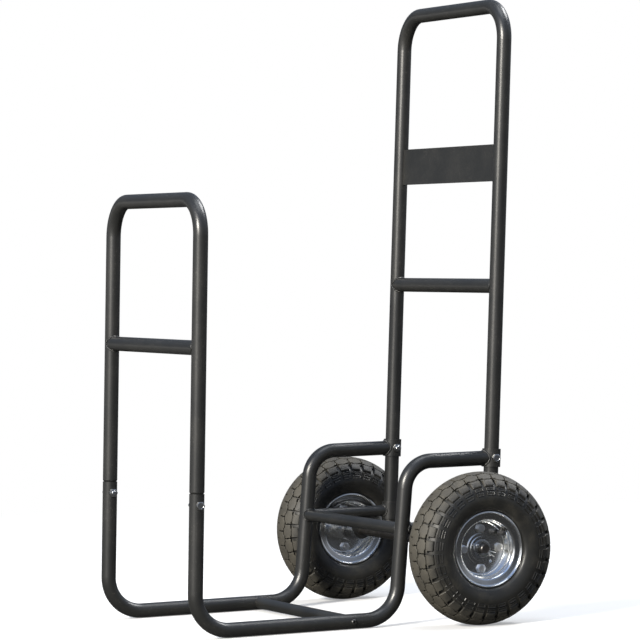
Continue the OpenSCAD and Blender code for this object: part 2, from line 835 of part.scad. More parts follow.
module valve_cap(side) {
    top_gap = 0.2;
    color(RUBBER) at_wheel(side) rotate([0, 0, valve_turn])
        translate([valve_reach, 0, valve_z + valve_rise]) difference() {
            cylinder(d1 = valve_d + 1, d2 = valve_d, h = cap_h);
            translate([0, 0, -1]) cylinder(d = neck_d, h = neck_h + 1 + top_gap);
        }
}

side_rail(RIGHT);  // side_rail_right
side_rail(LEFT);  // side_rail_left
rear_crossbar();
floor_crossbar();
floor_crossbar_plugs();
floor_crossbar_bolts();
front_hoop();
hoop_crossbar();
hoop_bolts();
hoop_nuts();
rail_sleeve(RIGHT);  // rail_sleeve_right
rail_sleeve(LEFT);  // rail_sleeve_left
lower_stay(RIGHT);  // lower_stay_right
lower_stay(LEFT);  // lower_stay_left
stay_sleeve(RIGHT);  // stay_sleeve_right
stay_sleeve(LEFT);  // stay_sleeve_left
axle_lug(RIGHT);  // axle_lug_right
axle_lug(LEFT);  // axle_lug_left
handle();
handle_crossbar();
handle_plate();
handle_end_caps();
handle_bolts();
handle_nuts();
axle();
axle_spacers();
axle_washers();
cotter_pins();
bearing_inner_races(RIGHT);  // bearing_inner_races_right
bearing_inner_races(LEFT);  // bearing_inner_races_left
tyre(RIGHT);  // tyre_right
inner_tube(RIGHT);  // inner_tube_right
rim_outer(RIGHT);  // rim_outer_right
rim_inner(RIGHT);  // rim_inner_right
hub(RIGHT);  // hub_right
bearing_outer_races(RIGHT);  // bearing_outer_races_right
bearing_balls(RIGHT);  // bearing_balls_right
bearing_seals(RIGHT);  // bearing_seals_right
rim_bolts(RIGHT);  // rim_bolts_right
rim_nuts(RIGHT);  // rim_nuts_right
valve_stem(RIGHT);  // valve_stem_right
valve_cap(RIGHT);  // valve_cap_right
tyre(LEFT);  // tyre_left
inner_tube(LEFT);  // inner_tube_left
rim_outer(LEFT);  // rim_outer_left
rim_inner(LEFT);  // rim_inner_left
hub(LEFT);  // hub_left
bearing_outer_races(LEFT);  // bearing_outer_races_left
bearing_balls(LEFT);  // bearing_balls_left
bearing_seals(LEFT);  // bearing_seals_left
rim_bolts(LEFT);  // rim_bolts_left
rim_nuts(LEFT);  // rim_nuts_left
valve_stem(LEFT);  // valve_stem_left
valve_cap(LEFT);  // valve_cap_left
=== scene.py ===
"""Looks of the tubular log cart: its finishes, tyres, rims, fasteners and welds.

Every length is in metres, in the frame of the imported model: +Z up, +Y towards the
handle, +X to the right-hand side, the floor at Z = 0. New pieces are shaped in
millimetres, each in a frame of its own, and are then placed in metres.
"""

import json
import logging
import math
from collections.abc import Callable
from dataclasses import dataclass
from enum import Enum

import bmesh
import bpy
from mathutils import Matrix, Vector


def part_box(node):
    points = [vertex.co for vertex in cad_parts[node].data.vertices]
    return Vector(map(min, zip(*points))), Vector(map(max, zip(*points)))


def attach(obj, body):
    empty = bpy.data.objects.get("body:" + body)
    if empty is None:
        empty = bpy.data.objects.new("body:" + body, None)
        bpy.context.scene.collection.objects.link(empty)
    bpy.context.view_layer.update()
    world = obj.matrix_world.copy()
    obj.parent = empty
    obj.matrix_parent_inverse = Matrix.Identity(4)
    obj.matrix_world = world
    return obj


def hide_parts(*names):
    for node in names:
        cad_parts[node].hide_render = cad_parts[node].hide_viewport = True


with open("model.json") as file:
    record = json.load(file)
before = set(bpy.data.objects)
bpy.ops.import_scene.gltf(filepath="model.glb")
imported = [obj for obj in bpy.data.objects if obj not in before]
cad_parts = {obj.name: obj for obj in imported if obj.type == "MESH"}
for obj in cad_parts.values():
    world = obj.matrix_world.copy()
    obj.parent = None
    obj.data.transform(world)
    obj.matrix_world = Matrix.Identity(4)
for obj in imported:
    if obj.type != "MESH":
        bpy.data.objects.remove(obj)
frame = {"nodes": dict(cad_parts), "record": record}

log = logging.getLogger("log_cart")

MM = 0.001  # metres to a millimetre
TINY = 0.002  # millimetres that count as nothing
MARK = "mark"  # face attribute with what stands on a tyre's skin
MIX_FACTOR, MIX_LOW, MIX_HIGH, MIX_RESULT = 0, 6, 7, 2  # a colour Mix node's sockets
NOISE_ROUGHNESS = 0.55  # how strong the finer features of a noise are
WHITE = (1.0, 1.0, 1.0)
Point = tuple[float, float, float]
Colour = tuple[float, float, float]
Outline = list[tuple[float, float]]


class Side(Enum):
    """The two sides of the cart, seen from the front."""

    RIGHT = 1
    LEFT = -1

    @property
    def word(self) -> str:
        """The side's name as the nodes spell it."""
        return self.name.lower()

    @property
    def wheel(self) -> str:
        """The body that turns on this side."""
        return f"wheel_{self.word}"


class Slot(Enum):
    """The record's material slots."""

    PAINT = "paint"
    ZINC = "zinc"
    STEEL = "steel"
    BEARING = "bearing_steel"
    RIM = "rim"
    TYRE = "tyre"
    TUBE_RUBBER = "tube_rubber"
    SEAL = "seal_rubber"
    VALVE = "valve_rubber"
    PLASTIC = "plastic"


# ---------------------------------------------------------------- shader graph


class Wire:
    """A shader socket on which Python's operators add Math nodes."""

    def __init__(self, graph: "Graph", socket: bpy.types.NodeSocket) -> None:
        """Wraps a socket of the graph."""
        self.graph = graph
        self.socket = socket

    def _math(self, operation: str, *values: "Wire | float") -> "Wire":
        """Adds one Math node over the given values."""
        sockets = dict(enumerate(values))
        return self.graph.node("ShaderNodeMath", {"operation": operation}, sockets)[0]

    def __add__(self, other: "Wire | float") -> "Wire":
        """self + other"""
        return self._math("ADD", self, other)

    def __sub__(self, other: "Wire | float") -> "Wire":
        """self - other"""
        return self._math("SUBTRACT", self, other)

    def __rsub__(self, other: "Wire | float") -> "Wire":
        """other - self"""
        return self._math("SUBTRACT", other, self)

    def __mul__(self, other: "Wire | float") -> "Wire":
        """self * other"""
        return self._math("MULTIPLY", self, other)

    def __truediv__(self, other: "Wire | float") -> "Wire":
        """self / other"""
        return self._math("DIVIDE", self, other)

    def __gt__(self, other: "Wire | float") -> "Wire":
        """1 where self is above other"""
        return self._math("GREATER_THAN", self, other)

    __radd__ = __add__
    __rmul__ = __mul__

    def root(self) -> "Wire":
        """Square root of self"""
        return self._math("SQRT", self)

    def ripple(self) -> "Wire":
        """A wave from 0 to 1 over self, in radians"""
        return self._math("SINE", self) * 0.5 + 0.5

    def clamped(self) -> "Wire":
        """self held between 0 and 1"""
        return self._math("MINIMUM", self._math("MAXIMUM", self, 0.0), 1.0)

    def swing(self, width: float) -> "Wire":
        """How far a noise is above its middle, times a width"""
        return (self - 0.5) * width

    def rise(self, start: float, gain: float) -> "Wire":
        """0 up to a start, and a slope of this gain from there up to 1"""
        return ((self - start) * gain).clamped()

    def ramp(self, start: float, length: float) -> "Wire":
        """0 up to a start, and from there up to 1 over a length"""
        return ((self - start) / length).clamped()


class Graph:
    """The node tree of a material or of the world."""

    def __init__(self, owner: bpy.types.Material | bpy.types.World) -> None:
        """Empties the owner's tree and gives it an output.

        Args:
            owner: The material or world.
        """
        self.owner = owner
        owner.use_nodes = True
        self.tree = owner.node_tree
        self.tree.nodes.clear()
        kind = "World" if isinstance(owner, bpy.types.World) else "Material"
        self.output = self.tree.nodes.new(f"ShaderNodeOutput{kind}")

    @classmethod
    def material(cls, name: str) -> "Graph":
        """The tree of a new material."""
        return cls(bpy.data.materials.new(name))

    def node(
        self,
        kind: str,
        settings: dict[str, object] | None = None,
        inputs: dict[str | int, object] | None = None,
    ) -> "dict[str | int, Wire]":
        """Adds a node, sets it up and feeds its sockets.

        Args:
            kind: The node's type.
            settings: Properties of the node.
            inputs: Values or wires by socket name or index.

        Returns:
            The node's outputs by name and by index.
        """
        made = self.tree.nodes.new(kind)
        for key, value in (settings or {}).items():
            setattr(made, key, value)
        for key, value in (inputs or {}).items():
            if isinstance(value, Wire):
                self.tree.links.new(value.socket, made.inputs[key])
            else:
                made.inputs[key].default_value = value
        outputs: dict[str | int, Wire] = {}
        for index, socket in enumerate(made.outputs):
            outputs[index] = Wire(self, socket)
            outputs.setdefault(socket.name, outputs[index])
        return outputs

    def place(self) -> Wire:
        """The point on the object, in metres."""
        return self.node("ShaderNodeTexCoord")["Object"]

    def xyz(self, point: Wire) -> "dict[str | int, Wire]":
        """The point's X, Y and Z."""
        return self.node("ShaderNodeSeparateXYZ", None, {0: point})

    def noise(self, scale: float, detail: float = 3.0) -> Wire:
        """Cloudy noise from about 0.3 to 0.7, with features of 1 / scale metres."""
        grain = {"Scale": scale, "Detail": detail, "Roughness": NOISE_ROUGHNESS}
        return self.node("ShaderNodeTexNoise", None, {"Vector": self.place(), **grain})[0]

    def tint(self, factor: Wire, low: Colour | Wire, high: Colour) -> Wire:
        """A colour that goes from low to high with a factor.

        Args:
            factor: From 0 to 1.
            low: The colour at 0, or a wire that carries it.
            high: The colour at 1.

        Returns:
            The mixed colour.
        """
        first = low if isinstance(low, Wire) else (*low, 1.0)
        sockets = {MIX_FACTOR: factor, MIX_LOW: first, MIX_HIGH: (*high, 1.0)}
        return self.node("ShaderNodeMix", {"data_type": "RGBA"}, sockets)[MIX_RESULT]

    def bump(self, height: Wire, depth: float, strength: float = 1.0) -> Wire:
        """A normal bent by a height from 0 to 1 over a depth in metres."""
        sockets = {"Height": height, "Distance": depth, "Strength": strength}
        return self.node("ShaderNodeBump", None, sockets)[0]

    def mixed(self, factor: Wire, first: Wire, second: Wire) -> Wire:
        """A shader that goes from the first to the second with the factor."""
        return self.node("ShaderNodeMixShader", None, {0: factor, 1: first, 2: second})[0]

    def ended(self, shader: Wire) -> bpy.types.Material | bpy.types.World:
        """Links a shader to the output and returns the owner."""
        self.tree.links.new(shader.socket, self.output.inputs["Surface"])
        return self.owner

    def surface(self, inputs: dict[str | int, object]) -> bpy.types.Material:
        """Ends the tree with a Principled shader and returns the material."""
        return self.ended(self.node("ShaderNodeBsdfPrincipled", None, inputs)[0])


# ---------------------------------------------------------------- finishes

# In every finish, a name that ends in _start is the noise value or the place where a
# change begins, _gain is how steeply it grows, and _share is its most.


@dataclass(frozen=True)
class PowderCoat:
    """Satin black paint baked on as powder: fine orange peel, thin dust, rubbed spots."""

    colour: Colour = (0.0145, 0.015, 0.0148)
    dust: Colour = (0.052, 0.049, 0.043)
    dust_start: float = 0.42
    dust_gain: float = 2.2
    dust_share: float = 0.25
    rubbed: Colour = (0.2, 0.19, 0.17)
    rubbed_start: float = 0.66
    rubbed_cloud: float = 0.5
    rubbed_share: float = 0.16
    cloud_scale: float = 14.0
    speck_scale: float = 420.0
    smear_scale: float = 160.0
    roughness: float = 0.26
    cloud_rough: float = 0.10
    smear_rough: float = 0.06
    specular: float = 0.55
    peel_scale: float = 900.0
    peel_depth: float = 0.00006

    def build(self) -> bpy.types.Material:
        """Makes the material.

        Returns:
            The paint.
        """
        g = Graph.material("powder_coat")
        cloud = g.noise(self.cloud_scale, detail=5.0)
        speck = g.noise(self.speck_scale, detail=2.0) > self.rubbed_start
        dusty = cloud.rise(self.dust_start, self.dust_gain) * self.dust_share
        colour = g.tint(dusty, self.colour, self.dust)
        rubbed = speck * (cloud > self.rubbed_cloud)
        smear = g.noise(self.smear_scale) * self.smear_rough
        return g.surface(
            {
                "Base Color": g.tint(rubbed * self.rubbed_share, colour, self.rubbed),
                "Roughness": self.roughness + cloud * self.cloud_rough + smear,
                "Specular IOR Level": self.specular,
                "Normal": g.bump(g.noise(self.peel_scale, detail=1.0), self.peel_depth),
            }
        )


@dataclass(frozen=True)
class ZincPlate:
    """Bright zinc over pressed or turned steel, with faint stains and draw marks."""

    name: str = "zinc_plate"
    colour: Colour = (0.60, 0.61, 0.61)
    stain: Colour = (0.46, 0.45, 0.42)
    roughness: float = 0.26
    stain_start: float = 0.38
    stain_gain: float = 2.6
    stain_share: float = 0.6
    stain_scale: float = 34.0
    stain_rough: float = 0.22
    marks_scale: float = 700.0
    marks_rough: float = 0.08
    marks_depth: float = 0.00002

    def build(self) -> bpy.types.Material:
        """Makes the material.

        Returns:
            The plated steel.
        """
        g = Graph.material(self.name)
        cloud = g.noise(self.stain_scale, detail=4.0)
        fine = g.noise(self.marks_scale, detail=2.0)
        stained = cloud.rise(self.stain_start, self.stain_gain) * self.stain_share
        rough = self.roughness + cloud.swing(self.stain_rough) + fine.swing(self.marks_rough)
        return g.surface(
            {
                "Base Color": g.tint(stained, self.colour, self.stain),
                "Metallic": 1.0,
                "Roughness": rough.clamped(),
                "Normal": g.bump(fine, self.marks_depth),
            }
        )


RIM_ZINC = ZincPlate("rim_zinc", (0.86, 0.87, 0.87), (0.64, 0.64, 0.61), 0.19)
FRESH_ZINC = ZincPlate("fresh_zinc", (0.86, 0.86, 0.85), (0.7, 0.69, 0.66), 0.34)
GROUND_STEEL = ZincPlate("ground_steel", (0.6, 0.6, 0.6), (0.5, 0.5, 0.5), 0.2)


@dataclass(frozen=True)
class TurnedSteel:
    """Bare turned bar, a little dull, with fine rings round the X axis."""

    colour: Colour = (0.12, 0.115, 0.11)
    stain: Colour = (0.05, 0.045, 0.04)
    stain_start: float = 0.4
    stain_gain: float = 2.4
    stain_scale: float = 60.0
    stain_rough: float = 0.3
    metallic: float = 0.9
    roughness: float = 0.38
    rings_scale: float = 9000.0
    rings_depth: float = 0.00002
    rings_strength: float = 0.6

    def build(self) -> bpy.types.Material:
        """Makes the material.

        Returns:
            The turned steel.
        """
        g = Graph.material("turned_steel")
        rings = (g.xyz(g.place())["X"] * self.rings_scale).ripple()
        cloud = g.noise(self.stain_scale, detail=4.0)
        stained = cloud.rise(self.stain_start, self.stain_gain)
        return g.surface(
            {
                "Base Color": g.tint(stained, self.colour, self.stain),
                "Metallic": self.metallic,
                "Roughness": self.roughness + cloud.swing(self.stain_rough),
                "Normal": g.bump(rings, self.rings_depth, self.rings_strength),
            }
        )


@dataclass(frozen=True)
class TyreRubber:
    """Black rubber: grey and dusty on top of the tread, darker on the wall, with painted shade in
    the tread's grooves.
    """

    axle_y: float
    axle_z: float
    tread: Colour = (0.066, 0.060, 0.047)
    wall: Colour = (0.0145, 0.0145, 0.0135)
    wheel_x: float = 0.265
    section_c: float = 0.088
    worn_start: float = 0.1005
    worn_length: float = 0.022
    worn_rough: float = 0.28
    groove_shade_fade_start: float = 0.0375
    # Painted groove shade: from the section's middle, where it starts to fade out towards the block
    # tops, and over how far.
    groove_shade_fade_length: float = 0.0025
    cloud_scale: float = 45.0
    cloud_rough: float = 0.2
    grit_scale: float = 900.0
    roughness: float = 0.40
    dust_shares: tuple[float, float, float] = (0.75, 1.3, 0.8)
    specular: float = 0.5
    relief_shares: tuple[float, float] = (0.6, 0.4)
    relief_depth: float = 0.00025
    relief_strength: float = 0.5

    def build(self) -> bpy.types.Material:
        """Makes the material.

        Returns:
            The rubber of both tyres.
        """
        g = Graph.material("tyre_rubber")
        xyz = g.xyz(g.place())
        back, up = xyz["Y"] - self.axle_y, xyz["Z"] - self.axle_z
        radius = (back * back + up * up).root()
        worn = radius.ramp(self.worn_start, self.worn_length)
        across = (xyz["X"] * xyz["X"]).root() - self.wheel_x
        out = radius - self.section_c
        # Painted shade mask: 0 in the tread's grooves and 1 on the block tops.
        top = (out * out + across * across).root().ramp(self.groove_shade_fade_start, self.groove_shade_fade_length)
        cloud = g.noise(self.cloud_scale, detail=5.0)
        grit = g.noise(self.grit_scale, detail=2.0)
        by_wear, by_cloud, by_grit = self.dust_shares
        dust = worn * by_wear + cloud.swing(by_cloud) + grit.swing(by_grit)
        rough = self.roughness + worn * self.worn_rough + cloud.swing(self.cloud_rough)
        height = grit * self.relief_shares[0] + cloud * self.relief_shares[1]
        return g.surface(
            {
                # Dust shows only where that mask is 1, so the grooves keep the wall's dark colour
                # as painted shade.
                "Base Color": g.tint((top * dust).clamped(), self.wall, self.tread),
                "Roughness": rough,
                "Specular IOR Level": self.specular,
                "Normal": g.bump(height, self.relief_depth, self.relief_strength),
            }
        )


@dataclass(frozen=True)
class Moulded:
    """Black moulded rubber or plastic with a fine grain."""

    name: str
    roughness: float = 0.5
    colour: Colour = (0.022, 0.022, 0.023)
    bloom_start: float = 0.45
    bloom_gain: float = 2.0
    bloom_times: float = 2.2
    bloom_scale: float = 90.0
    bloom_rough: float = 0.2
    grain_scale: float = 1400.0
    grain_depth: float = 0.00004

    def build(self) -> bpy.types.Material:
        """Makes the material.

        Returns:
            The rubber or plastic.
        """
        g = Graph.material(self.name)
        cloud = g.noise(self.bloom_scale)
        bloom = cloud.rise(self.bloom_start, self.bloom_gain)
        lighter = tuple(part * self.bloom_times for part in self.colour)
        return g.surface(
            {
                "Base Color": g.tint(bloom, self.colour, lighter),
                "Roughness": self.roughness + cloud.swing(self.bloom_rough),
                "Normal": g.bump(g.noise(self.grain_scale, detail=1.0), self.grain_depth),
            }
        )


# ---------------------------------------------------------------- workbench


class Part(Enum):
    """What a selection is made of, as Blender spells it."""

    EDGE = "EDGE"
    FACE = "FACE"


class Cut(Enum):
    """What a tool does to a piece, as the Boolean modifier spells it."""

    TAKE_AWAY = "DIFFERENCE"
    KEEP_SHARED = "INTERSECT"
    ADD = "UNION"


class Edit:
    """A piece opened in edit mode, with selections made by place."""

    def __init__(self, piece: bpy.types.Object) -> None:
        """Takes the piece to open."""
        self.piece = piece

    def __enter__(self) -> "Edit":
        """Opens the piece with nothing selected, in face mode.

        Returns:
            The open piece.
        """
        pick(self.piece)
        bpy.ops.object.mode_set(mode="EDIT")
        self.only(Part.FACE)
        return self

    def __exit__(self, *_: object) -> None:
        """Goes back to object mode."""
        bpy.ops.object.mode_set(mode="OBJECT")

    @staticmethod
    def only(part: Part) -> None:
        """Selects edges or faces from here on, and starts with nothing."""
        bpy.ops.mesh.select_mode(type=part.value)
        bpy.ops.mesh.select_all(action="DESELECT")

    @property
    def mesh(self) -> bmesh.types.BMesh:
        """The mesh as it stands."""
        return bmesh.from_edit_mesh(self.piece.data)

    def choose(self, part: Part, test: Callable[..., bool]) -> None:
        """Selects the edges or faces that pass a test, and nothing else.

        Args:
            part: Whether edges or faces are wanted.
            test: Says of one of them whether it is selected.
        """
        self.only(part)
        parts = self.mesh.edges if part is Part.EDGE else self.mesh.faces
        for chosen in [item for item in parts if test(item)]:
            chosen.select_set(True)
        bmesh.update_edit_mesh(self.piece.data)

    def move(self, place: Callable[[Vector], Vector]) -> None:
        """Moves each selected vertex.

        Args:
            place: Where a vertex goes, by where it is.
        """
        for vertex in [v for v in self.mesh.verts if v.select]:
            vertex.co = place(vertex.co)
        bmesh.update_edit_mesh(self.piece.data)

    @staticmethod
    def outwards() -> None:
        """Turns every face outwards."""
        bpy.ops.mesh.select_all(action="SELECT")
        bpy.ops.mesh.normals_make_consistent(inside=False)

    @classmethod
    def tidy(cls) -> None:
        """Merges doubles and turns every face outwards."""
        bpy.ops.mesh.select_all(action="SELECT")
        bpy.ops.mesh.remove_doubles(threshold=TINY)
        cls.outwards()


def pick(*pieces: bpy.types.Object) -> None:
    """Makes these pieces the only selected ones, and the first the active one.

    Args:
        pieces: At least one piece.
    """
    bpy.ops.object.select_all(action="DESELECT")
    for piece in pieces:
        piece.select_set(True)
    bpy.context.view_layer.objects.active = pieces[0]


def scrap(*pieces: bpy.types.Object) -> None:
    """Throws away models and tools that have been used."""
    for piece in pieces:
        bpy.data.objects.remove(piece, do_unlink=True)


def named(name: str) -> bpy.types.Object:
    """Names the active object, which an operator has just made.

    Args:
        name: The name of the object and its mesh.

    Returns:
        The object.
    """
    piece = bpy.context.object
    piece.name = name
    piece.data.name = name
    return piece


def polar(radius: float, angle: float) -> tuple[float, float]:
    """The point of a plane at a radius and an angle in radians."""
    return radius * math.cos(angle), radius * math.sin(angle)


def around(radius: float, angle: float, height: float) -> Vector:
    """The point at a radius, an angle in radians and a height about the Z axis."""
    return Vector((*polar(radius, angle), height))


def shift(x: float, y: float, z: float) -> Matrix:
    """A plain move."""
    return Matrix.Translation((x, y, z))


def turn(degrees: float, axis: str = "Z") -> Matrix:
    """A turn about one of the three axes."""
    return Matrix.Rotation(math.radians(degrees), 4, axis)


def lathe(name: str, outline: Outline, steps: int) -> bpy.types.Object:
    """Turns a closed outline about the Z axis.

    Args:
        name: The piece's name.
        outline: (radius, height) points; a side that lies on the axis is left out.
        steps: Faces round the axis.

    Returns:
        The turned piece.
    """
    bpy.ops.object.select_all(action="DESELECT")
    bpy.ops.mesh.primitive_circle_add(vertices=len(outline), radius=1.0)
    piece = named(name)
    for vertex, (radius, height) in zip(piece.data.vertices, outline, strict=True):
        vertex.co = (radius, 0.0, height)
    with Edit(piece) as edit:
        edit.choose(Part.EDGE, lambda edge: all(v.co.x < TINY for v in edge.verts))
        bpy.ops.mesh.delete(type="EDGE")
        bpy.ops.mesh.select_all(action="SELECT")
        bpy.ops.mesh.spin(steps=steps, angle=math.tau, center=(0, 0, 0), axis=(0, 0, 1))
        edit.tidy()
    return piece


def loft(
    name: str,
    rings: list[list[Vector]],
    closed: bool = True,
    mark: Callable[[int, int], int] | None = None,
) -> bpy.types.Object:
    """Bends a grid into the tube that runs through rings of points.

    Args:
        name: The piece's name.
        rings: Rings of as many points each, in order along the tube.
        closed: Whether the last ring joins the first; if not, both ends are capped.
        mark: The number that each face carries, by its ring and its place round it.

    Returns:
        The piece.
    """
    sides = len(rings[0])
    lines = rings + rings[:1] if closed else rings
    bpy.ops.object.select_all(action="DESELECT")
    bpy.ops.mesh.primitive_grid_add(x_subdivisions=sides, y_subdivisions=len(lines) - 1)
    piece = named(name)
    for index, vertex in enumerate(piece.data.vertices):
        line, place = divmod(index, sides + 1)
        vertex.co = lines[line][place % sides]
    if mark:
        layer = piece.data.attributes.new(MARK, "INT", "FACE")
        marks = [mark(*divmod(i, sides)) for i in range(len(piece.data.polygons))]
        layer.data.foreach_set("value", marks)
    with Edit(piece) as edit:
        bpy.ops.mesh.select_all(action="SELECT")
        bpy.ops.mesh.remove_doubles(threshold=TINY)
        if not closed:
            bpy.ops.mesh.fill_holes(sides=0)
        edit.tidy()
    return piece


def prism(radius: float, low: float, high: float, sides: int = 6) -> bpy.types.Object:
    """A bar along Z to cut with or to cut down.

    Args:
        radius: Radius over its corners.
        low: Height of its foot.
        high: Height of its top.
        sides: Faces round it.

    Returns:
        The bar.
    """
    bpy.ops.object.select_all(action="DESELECT")
    bpy.ops.mesh.primitive_cylinder_add(vertices=sides, radius=radius, depth=high - low)
    return moved(named("bar"), shift(0, 0, (low + high) / 2))


def carve(piece: bpy.types.Object, tool: bpy.types.Object, cut: Cut = Cut.TAKE_AWAY) -> None:
    """Cuts a piece with a tool, keeps what both share, or adds the tool.

    Args:
        piece: The piece.
        tool: The tool, which is used up.
        cut: Which of the three is done.
    """
    modifier = piece.modifiers.new("carve", "BOOLEAN")
    modifier.operation = cut.value
    modifier.solver = "EXACT"
    modifier.object = tool
    pick(piece)
    bpy.ops.object.modifier_apply(modifier=modifier.name)
    scrap(tool)


def moved(piece: bpy.types.Object, matrix: Matrix) -> bpy.types.Object:
    """Moves a piece's mesh; its object stays at the origin.

    Args:
        piece: The piece.
        matrix: Where it goes.

    Returns:
        The same piece.
    """
    pick(piece)
    piece.matrix_world = matrix
    bpy.ops.object.transform_apply(location=True, rotation=True, scale=True)
    return piece


def put(piece: bpy.types.Object, matrix: Matrix) -> bpy.types.Object:
    """Places a piece for good: its mesh goes to its place in the cart and turns metric."""
    return moved(piece, Matrix.Scale(MM, 4) @ matrix)


def copied(piece: bpy.types.Object, name: str) -> bpy.types.Object:
    """Copies a piece, mesh and all.

    Args:
        piece: The piece to copy.
        name: The copy's name.

    Returns:
        The copy.
    """
    pick(piece)
    bpy.ops.object.duplicate(linked=False)
    return named(name)


def group(name: str, model: bpy.types.Object, places: list[Matrix]) -> bpy.types.Object:
    """Copies a model to several places and joins the copies; the model is used up.

    Args:
        name: The group's name.
        model: The piece to repeat, in millimetres.
        places: Where each copy goes, in millimetres.

    Returns:
        The group, in metres.
    """
    copies = [put(copied(model, f"{name}_{i}"), place) for i, place in enumerate(places)]
    scrap(model)
    pick(*copies)
    bpy.ops.object.join()
    return named(name)


def rounded(corners: list[tuple[float, float, float]], steps: int = 4) -> Outline:
    """Rounds the corners of an open line.

    Args:
        corners: (radius, height, reach of the rounding along each side).
        steps: Short sides to a rounded corner.

    Returns:
        The line's points.
    """
    points = [Vector(corners[0][:2])]
    for before, corner, after in zip(corners, corners[1:], corners[2:]):
        middle, reach = Vector(corner[:2]), corner[2]
        start = middle + (Vector(before[:2]) - middle).normalized() * reach
        end = middle + (Vector(after[:2]) - middle).normalized() * reach
        for t in [step / steps for step in range(steps + 1)] if reach else [0.0]:
            points.append(start * (1 - t) ** 2 + middle * 2 * t * (1 - t) + end * t**2)
    points.append(Vector(corners[-1][:2]))
    return [tuple(point) for point in points]


def sheet(line: Outline, thickness: float) -> Outline:
    """The closed outline of a sheet.

    Args:
        line: The middle line of the sheet's section.
        thickness: The sheet's thickness.

    Returns:
        The outline's points.
    """
    points = [Vector(point) for point in line]
    sides: tuple[Outline, Outline] = ([], [])
    for index, point in enumerate(points):
        along = points[min(index + 1, len(points) - 1)] - points[max(index - 1, 0)]
        across = Vector((-along.y, along.x)).normalized() * thickness / 2
        sides[0].append(tuple(point + across))
        sides[1].append(tuple(point - across))
    return sides[0] + sides[1][::-1]


def spot(node: str) -> Vector:
    """The middle of a node's box, in millimetres."""
    low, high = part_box(node)
    return (Vector(low) + Vector(high)) / 2 / MM


def hand_in(
    piece: bpy.types.Object,
    body: str,
    slot: Slot,
    finish: bpy.types.Material,
    replaced: tuple[str, ...] = (),
    sharp: float = 32.0,
) -> None:
    """Shades and dresses a finished piece, hangs it under its body and hides the CAD nodes that it
    replaces.

    Args:
        piece: The piece, at its place.
        body: The body that it moves with.
        slot: The record's material slot; not used.
        finish: Its material.
        replaced: The CAD nodes that it stands for.
        sharp: Edges bent by more than this many degrees stay sharp.
    """
    pick(piece)
    bpy.ops.object.shade_smooth_by_angle(angle=math.radians(sharp))
    piece.data.materials.clear()
    piece.data.materials.append(finish)
    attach(piece, body)
    if replaced:
        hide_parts(*replaced)
    log.info("%s: %d faces on %s", piece.name, len(piece.data.polygons), body)


# ---------------------------------------------------------------- the cart's own lines


@dataclass(frozen=True)
class Lines:
    """The cart's driving sizes and the frames that its pieces are placed in."""

    tube_r: float = 12.7
    thin_r: float = 10.0
    cross_r: float = 12.5
    sleeve_r: float = 15.9
    hoop_lean: float = 2.2
    rear_lean: float = 6.0
    handle_lean: float = 3.2
    wheel_x: float = 265.0

    def beside(self, side: Side, out: float, level: Vector) -> Vector:
        """The point at a distance outside a side's centre line, level with another point."""
        return Vector((side.value * (spot("side_rail_right").x + out), level.y, level.z))

    def outward(self, side: Side, out: float, level: Vector) -> Matrix:
        """A frame at such a point whose Z axis points out of the cart's side."""
        return Matrix.Translation(self.beside(side, out, level)) @ turn(90 * side.value, "Y")

    @staticmethod
    def upward(lean: float) -> Vector:
        """Direction of an upright that leans back."""
        return Vector((0.0, math.sin(math.radians(lean)), math.cos(math.radians(lean))))

    def wheel(self, side: Side) -> Matrix:
        """A wheel's frame: X points back and Z outwards along the axle.

        Args:
            side: The wheel's side.

        Returns:
            The frame.
        """
        s = side.value
        axle = spot("axle")
        axes = Matrix(((0, 0, s), (1, 0, 0), (0, s, 0))).to_4x4()
        return shift(s * self.wheel_x, axle.y, axle.z) @ axes


# ---------------------------------------------------------------- tyre


@dataclass(frozen=True)
class Station:
    """One line round the outside of the tyre.

    Attributes:
        angle: Place round the section, in degrees from the crown.
        sway: How far the line swings to and fro, in degrees.
        lead: How far the line runs ahead of the pitch, in pitches.
    """

    angle: float
    sway: float = 0.0
    lead: float = 0.0


class Relief(Enum):
    """What stands on a stretch of the tyre's skin."""

    NONE = 0
    BLOCK = 1
    CUSHION = 2
    RIB = 3


@dataclass(frozen=True)
class Row:
    """A row of raised shapes between two stations of one half of the tyre.

    Attributes:
        relief: What the row is made of.
        bands: First and last band of skin, counted from the crown.
        gap: Where the bare gap starts, in pitches, and how long it is.
    """

    relief: Relief
    bands: tuple[int, int]
    gap: tuple[float, float]


